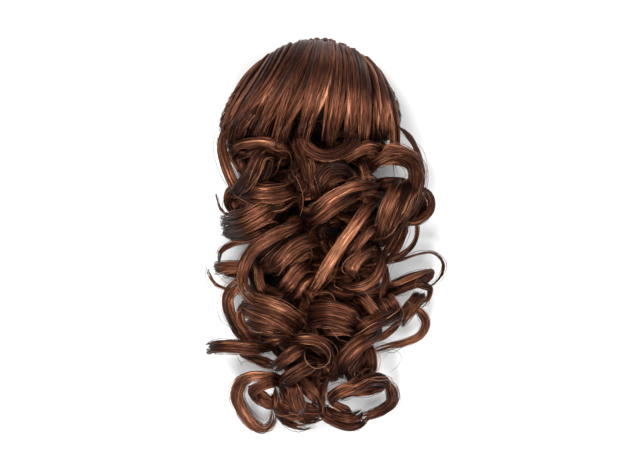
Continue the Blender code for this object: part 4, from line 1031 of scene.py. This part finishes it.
class HAIRPIECE_OT_inner_hair(bpy.types.Operator):
    """Makes the inner mass, near black as painted shade of the gaps, the hollow shell under the combed crown
    and the tangle over the mass
    """

    bl_idname = "hairpiece.inner_hair"
    bl_label = "Inner hair"

    def execute(self, context):
        """Arched sections lofted along Y: solid under the curls, a thin wall under the crown."""
        sizes = context.scene.hair_sizes
        inner = tuple(context.scene.hair_colours.inner)
        deep, middle, light = hair_colours()
        # the inner mass and the crown's shell are near black: painted shade seen in the gaps between the
        # curls
        material = hair_material("inner hair", inner, inner, deep, 0.0, 0.05)
        solid = arch_ring(np.linspace(HOLLOW_FRONT, BACKING[-1][0], 70), 0.003, INNER_HEIGHT, 64)
        dress(loft_object("inner_mass", combed(solid, 20.0, 0.0005)[None], [0.5], material), CURLS_NODE)
        back = np.linspace(BACKING[0][0], HOLLOW_FRONT - 2.0, 44)
        outside = arch_ring(back, 0.0022, 1.0, 64)
        inside = arch_ring(back, 0.0062, 1.0, 64)[:, ::-1]
        shell = np.concatenate([combed(outside, 24.0, 0.0004), inside], axis=1)
        dress(loft_object("crown_shell", shell[None], [0.5], material), CROWN_NODE)

        rng = np.random.default_rng(sizes.seed + 30)
        count = sizes.inner_curls
        tangle = hair_material("tangled hair", deep, middle, light, 0.5, 0.1)
        widths = rng.uniform(6.0, 11.0, count)
        routes = inner_curl_routes(count, rng)
        rolls = rng.normal(0.0, 15.0, count)
        curls = Locks(routes, widths, np.full(count, 4.0), rolls, np.full(count, 0.5), 30)
        owner, thinner = curls.split(np.full(count, 2), 16, rng)
        # a lower tone than the outer curls: painted shade where the tangle lies deep between them
        tones = rng.normal(0.24, 0.12, count)
        rings = lock_rings(thinner, 8, sizes.ridge_height * 0.5, rng)
        dress(loft_object("inner_curls", rings, tones[owner], tangle), CURLS_NODE)
        rings = strand_rings(curls, np.full(count, 4), 14, sizes.strand_radius, 0.0016, 1.1, rng)
        # the tangle's strands are toned darker too: painted shade
        dress(loft_object("inner_strands", rings, rng.normal(0.34, 0.16, len(rings)), tangle), CURLS_NODE)
        return {"FINISHED"}


def inner_curl_routes(count, rng):
    """Arcs that lie on the inner mass: a circle in plan at random places, part of the way round, a little
    over the mass: height = mass height there + a random lift."""
    y = rng.uniform(*INNER_Y, count)
    left, right = section(1, y), section(2, y)
    x = (left + right) / 2.0 + rng.uniform(-INNER_SPREAD, INNER_SPREAD, count) * (right - left) / 2.0
    radius = rng.uniform(*INNER_RADII, count)
    begin = rng.uniform(0.0, 2.0 * math.pi, count)
    sweep = rng.uniform(*INNER_TURNS, count) * rng.choice((-1.0, 1.0), count)
    t = np.linspace(0.0, 1.0, 7)[None, :]
    angle = begin[:, None] + sweep[:, None] * t
    arc_x = x[:, None] + radius[:, None] * np.cos(angle)
    arc_y = y[:, None] + radius[:, None] * np.sin(angle) * INNER_FLATTER
    edge_left, edge_right = section(1, arc_y) + INNER_EDGE, section(2, arc_y) - INNER_EDGE
    arc_x = np.clip(arc_x, edge_left, edge_right)
    arc_y = np.clip(arc_y, BACKING[-1][0] + INNER_END, HOLLOW_FRONT - INNER_FRONT)
    off = (2.0 * arc_x - edge_left - edge_right) / (edge_right - edge_left)
    off = np.clip(off, -INNER_OFF_CENTRE, INNER_OFF_CENTRE)
    height = section(3, arc_y) * INNER_HEIGHT * (1.0 - off ** 2) ** (ARCH_FULLNESS / 2.0)
    height = height + rng.uniform(*INNER_LIFTS, (count, 1)) * np.sin(math.pi * t)
    return np.stack([arc_x, arc_y, height], axis=-1)


class HAIRPIECE_OT_crown(bpy.types.Operator):
    """Combs the crown: flat locks from the roots to the ends, with strands over them"""

    bl_idname = "hairpiece.crown"
    bl_label = "Combed crown"

    def execute(self, context):
        """The crown's locks, the strands combed over them, and the hem down the wall, in this order."""
        sizes = context.scene.hair_sizes
        rng = np.random.default_rng(sizes.seed)
        deep, middle, light = hair_colours()
        material = hair_material("combed hair", deep, middle, light, 0.55, 0.2)
        wander = sizes.strand_wander * 0.5
        crown_lock_piece(sizes, material, rng)
        crown_strand_piece(sizes, material, wander, rng)
        hem_pieces(sizes, material, wander, rng)
        return {"FINISHED"}


def crown_lock_piece(sizes, material, rng):
    """The table's locks, each split in four, and narrower ones read between its rows, split in two."""
    between = np.arange(BETWEEN_FIRST, len(CROWN_LOCKS) - 1.0, BETWEEN_STEP)
    places = np.concatenate([np.arange(len(CROWN_LOCKS)), between])
    rows = clumped(between_rows(np.minimum(places, LAST_PLACE)), places, rng)
    main = np.arange(len(rows)) < len(CROWN_LOCKS)
    rows[:, 6] = np.where(main, rows[:, 6], rng.uniform(*BETWEEN_WIDTHS, len(rows)))
    rows[:, 7] += np.where(main, 0.0, rng.uniform(*BETWEEN_LIFTS, len(rows)))
    thick = np.where(main, CROWN_THICKNESS, BETWEEN_THICKNESS)
    even = np.zeros(len(rows))
    drops, runs = rng.uniform(14.0, END_DROP, len(rows)), rng.uniform(4.0, END_RUN, len(rows))
    locks = Locks(crown_routes(rows, drops, runs), rows[:, 6], thick, even, even + 0.45, 40)
    owner, thinner = locks.split(np.where(main, 4, 2), 27, rng, last_start=0.0, start_size=1.6)
    tones = rng.normal(0.5, 0.09, len(rows))[owner] + rng.normal(0.0, 0.06, len(owner))
    rings = lock_rings(thinner, 10, sizes.ridge_height, rng)
    # painted light along the length: painted shade over the top and where the ends turn under, a painted
    # highlight on the front slope
    tones = tones[:, None] + crown_painted_light(thinner.share)
    dress(loft_object("crown_locks", rings, tones, material), CROWN_NODE)


def crown_strand_piece(sizes, material, wander, rng):
    """Strands on routes of their own, at random places between the table's locks and a little over them."""
    places = rng.uniform(0.0, LAST_PLACE, sizes.crown_strands)
    rows = clumped(between_rows(places), places, rng)
    rows[:, 0:4] += rng.normal(0.0, 1.2, (len(rows), 4))
    rows[:, 5] += rng.normal(-3.0, 8.0, len(rows))
    rows[:, 7] = rng.uniform(3.0, 6.5, len(rows))
    drops = rng.uniform(8.0, END_DROP, len(rows))
    one = np.ones(len(rows))
    runs = rng.uniform(3.0, END_RUN, len(rows))
    carriers = Locks(crown_routes(rows, drops, runs), one, one, 0.0 * one, one, 34)
    rings = strand_rings(carriers, one.astype(int), 26, sizes.strand_radius, wander, 1.0, rng)
    # the tone adds painted light along the length, as on the crown's locks: painted highlight on the front
    # slope, painted shade elsewhere
    tones = rng.normal(0.47, 0.2, (len(rings), 1)) + crown_painted_light(np.linspace(0.0, 1.0, rings.shape[1]))
    dress(loft_object("crown_strands", rings, tones, material), CROWN_NODE)


def hem_pieces(sizes, material, wander, rng):
    """The short locks down the crown's wall, each split in two, with strands on them."""
    hem = locks_from_rows(tuple(hem_rows(rng)), 20)
    count = len(hem.paths)
    owner, thinner = hem.split(np.full(count, 2), 14, rng)
    tones = rng.normal(0.40, 0.1, len(owner))
    rings = lock_rings(thinner, 8, sizes.ridge_height, rng)
    dress(loft_object("crown_hem", rings, tones, material), CROWN_NODE)
    rings = strand_rings(hem, np.full(count, 8), 14, sizes.strand_radius, wander, 1.1, rng)
    dress(loft_object("hem_strands", rings, rng.normal(0.43, 0.2, len(rings)), material), CROWN_NODE)


class HAIRPIECE_OT_curls(bpy.types.Operator):
    """Makes the curled locks of each region, with loose strands on their skin"""

    bl_idname = "hairpiece.curls"
    bl_label = "Curled locks"

    def execute(self, context):
        """One piece of locks and one of strands for each region."""
        sizes = context.scene.hair_sizes
        deep, middle, light = hair_colours()
        material = hair_material("curled hair", deep, middle, light, 0.55, 0.2)
        regions = (("left", LEFT_LOCKS), ("centre", CENTRE_LOCKS), ("right", RIGHT_LOCKS), ("tip", TIP_LOCKS),
                   ("filler", FILLER_LOCKS), ("under", tuple(under_curl_rows())))
        for number, (region, table) in enumerate(regions):
            rng = np.random.default_rng(sizes.seed + 10 + number)
            locks = locks_from_rows(table, 56)
            tones = rng.normal(0.5, 0.10, (len(table), 1)) + slow_sway(len(table), locks.share, rng)[0] * 0.09
            owner, thinner = locks.split(np.maximum(1, np.round(locks.widths / 3.2)).astype(int), 30, rng)
            rings = lock_rings(thinner, 10, sizes.ridge_height, rng)
            lock_tones_and_painted_light = spread(tones[owner], rings.shape[1]) + rng.normal(0.0, 0.08, (len(owner), 1))
            # painted highlight on the crests and painted shade where the locks dive
            lock_tones_and_painted_light = lock_tones_and_painted_light + crest_painted_light(rings)
            dress(loft_object(region + "_curls", rings, lock_tones_and_painted_light, material), CURLS_NODE)
            counts = np.maximum(5, np.round(locks.widths * sizes.strands_per_step)).astype(int)
            rings = strand_rings(locks, counts, 18, sizes.strand_radius, sizes.strand_wander, 1.06, rng)
            strand_tones_and_painted_light = spread(np.repeat(tones, counts, axis=0), rings.shape[1])
            # the same painted highlight on the crests and painted shade where the strands dive
            strand_tones_and_painted_light = strand_tones_and_painted_light + rng.normal(0.03, 0.2, (len(rings), 1)) + crest_painted_light(rings)
            dress(loft_object(region + "_strands", rings, strand_tones_and_painted_light, material), CURLS_NODE)
        return {"FINISHED"}


class HAIRPIECE_OT_stray_hairs(bpy.types.Operator):
    """Adds the thin hairs that stray from the locks"""

    bl_idname = "hairpiece.stray_hairs"
    bl_label = "Stray hairs"

    def execute(self, context):
        """Hairs on routes of their own, and hairs that follow a lock at a distance."""
        sizes = context.scene.hair_sizes
        rng = np.random.default_rng(sizes.seed + 40)
        deep, middle, light = hair_colours()
        material = hair_material("stray hair", deep, middle, light, 0.3, 0.3)
        one = np.ones(len(FLYAWAYS))
        own = Locks(FLYAWAYS, one, one, 0.0 * one, one, 40)
        rings = [strand_rings(own, one.astype(int), 26, sizes.hair_radius, 0.0002, 1.0, rng)]
        table = LEFT_LOCKS + CENTRE_LOCKS + RIGHT_LOCKS + TIP_LOCKS
        locks = locks_from_rows(table, 40)
        counts = rng.multinomial(sizes.stray_hairs, locks.widths / locks.widths.sum())
        rings.append(strand_rings(locks, counts, 26, sizes.hair_radius, 0.0050, 1.4, rng))
        rings = np.concatenate(rings)
        dress(loft_object("stray_hairs", rings, rng.normal(0.60, 0.2, len(rings)), material), CURLS_NODE)
        return {"FINISHED"}


class HAIRPIECE_OT_clip(bpy.types.Operator):
    """Gives the claw clip its moulded plastic"""

    bl_idname = "hairpiece.clip"
    bl_label = "Claw clip"

    def execute(self, context):
        """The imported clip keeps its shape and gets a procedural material."""
        material = clip_material(tuple(context.scene.hair_colours.clip))
        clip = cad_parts[CLIP_NODE]
        for slot in clip.material_slots:
            slot.material = material
        return {"FINISHED"}


def soft_light(name, place, aim, size, power):
    """Square light that faces its aim."""
    light = bpy.data.lights.new(name, "AREA")
    light.shape = "SQUARE"
    light.size = size
    light.energy = power
    lamp = bpy.data.objects.new(name, light)
    lamp.location = place
    lamp.rotation_euler = direction_angles(np.array(aim, float) - np.array(place, float))
    bpy.context.scene.collection.objects.link(lamp)
    return lamp


def direction_angles(direction):
    """Turn about X, then about Z, that points an object's -Z axis along a direction."""
    x, y, z = direction / np.linalg.norm(direction)
    return math.acos(-z), 0.0, math.atan2(-x, y)


class HAIRPIECE_OT_stage(bpy.types.Operator):
    """Sets up the pale surface, the soft lights and the camera straight above"""

    bl_idname = "hairpiece.stage"
    bl_label = "Surface, lights and camera"

    def execute(self, context):
        """The camera stands over the middle of the picture; its lens spans the picture's width."""
        scene = context.scene
        stage = scene.hair_stage
        signs = ((-1, -1), (1, -1), (1, 1), (-1, 1))
        corners = [(x * SURFACE_HALF, y * SURFACE_HALF, SURFACE_Z) for x, y in signs]
        mesh = bpy.data.meshes.new("surface")
        mesh.from_pydata(corners, [], [(0, 1, 2, 3)])
        mesh.materials.append(floor_material(tuple(stage.floor)))
        floor = bpy.data.objects.new("surface", mesh)
        scene.collection.objects.link(floor)

        for name, place, size, setting, share in LIGHTS:
            soft_light(name, place, LIGHT_AIM, size, getattr(stage, setting) * share)
        world = bpy.data.worlds.new("room")
        world.use_nodes = True
        background = world.node_tree.nodes["Background"]
        background.inputs["Color"].default_value = (1.0, 1.0, 1.0, 1.0)
        background.inputs["Strength"].default_value = stage.sky
        scene.world = world

        lens = bpy.data.cameras.new("camera")
        camera = bpy.data.objects.new("camera", lens)
        photo_middle = np.array(PHOTO_MIDDLE) * STEP
        camera.location = (photo_middle[0], photo_middle[1], stage.camera_height)
        lens.lens = lens.sensor_width * (stage.camera_height - HAIR_HEIGHT) / stage.picture_width
        scene.collection.objects.link(camera)
        scene.camera = camera
        scene.view_settings.view_transform = "Standard"
        return {"FINISHED"}


OPERATORS = (HAIRPIECE_OT_inner_hair, HAIRPIECE_OT_crown, HAIRPIECE_OT_curls, HAIRPIECE_OT_stray_hairs,
             HAIRPIECE_OT_clip, HAIRPIECE_OT_stage)


class HAIRPIECE_PT_panel(bpy.types.Panel):
    """Lists the hairpiece's operators and sizes in the sidebar"""

    bl_idname = "HAIRPIECE_PT_panel"
    bl_label = "Hairpiece"
    bl_space_type = "VIEW_3D"
    bl_region_type = "UI"
    bl_category = "Hairpiece"

    def draw(self, context):
        """A button for each operator, then the sizes and colours."""
        for operator in OPERATORS:
            self.layout.operator(operator.bl_idname)
        scene = context.scene
        for group in (scene.hair_sizes, scene.hair_colours, scene.hair_stage):
            box = self.layout.box()
            for name in group.__annotations__:
                box.prop(group, name)


CLASSES = (HairSizes, HairColours, StageSizes) + OPERATORS + (HAIRPIECE_PT_panel,)


def register():
    """Registers the classes and hangs the settings on the scene."""
    for item in CLASSES:
        bpy.utils.register_class(item)
    bpy.types.Scene.hair_sizes = bpy.props.PointerProperty(type=HairSizes)
    bpy.types.Scene.hair_colours = bpy.props.PointerProperty(type=HairColours)
    bpy.types.Scene.hair_stage = bpy.props.PointerProperty(type=StageSizes)


def unregister():
    """Takes the settings and the classes away again."""
    del bpy.types.Scene.hair_stage
    del bpy.types.Scene.hair_colours
    del bpy.types.Scene.hair_sizes
    for item in reversed(CLASSES):
        bpy.utils.unregister_class(item)


def main():
    """Registers the add-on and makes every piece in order."""
    register()
    bpy.ops.hairpiece.inner_hair()
    bpy.ops.hairpiece.crown()
    bpy.ops.hairpiece.curls()
    bpy.ops.hairpiece.stray_hairs()
    bpy.ops.hairpiece.clip()
    bpy.ops.hairpiece.stage()
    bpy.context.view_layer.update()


if __name__ == "__main__":
    main()
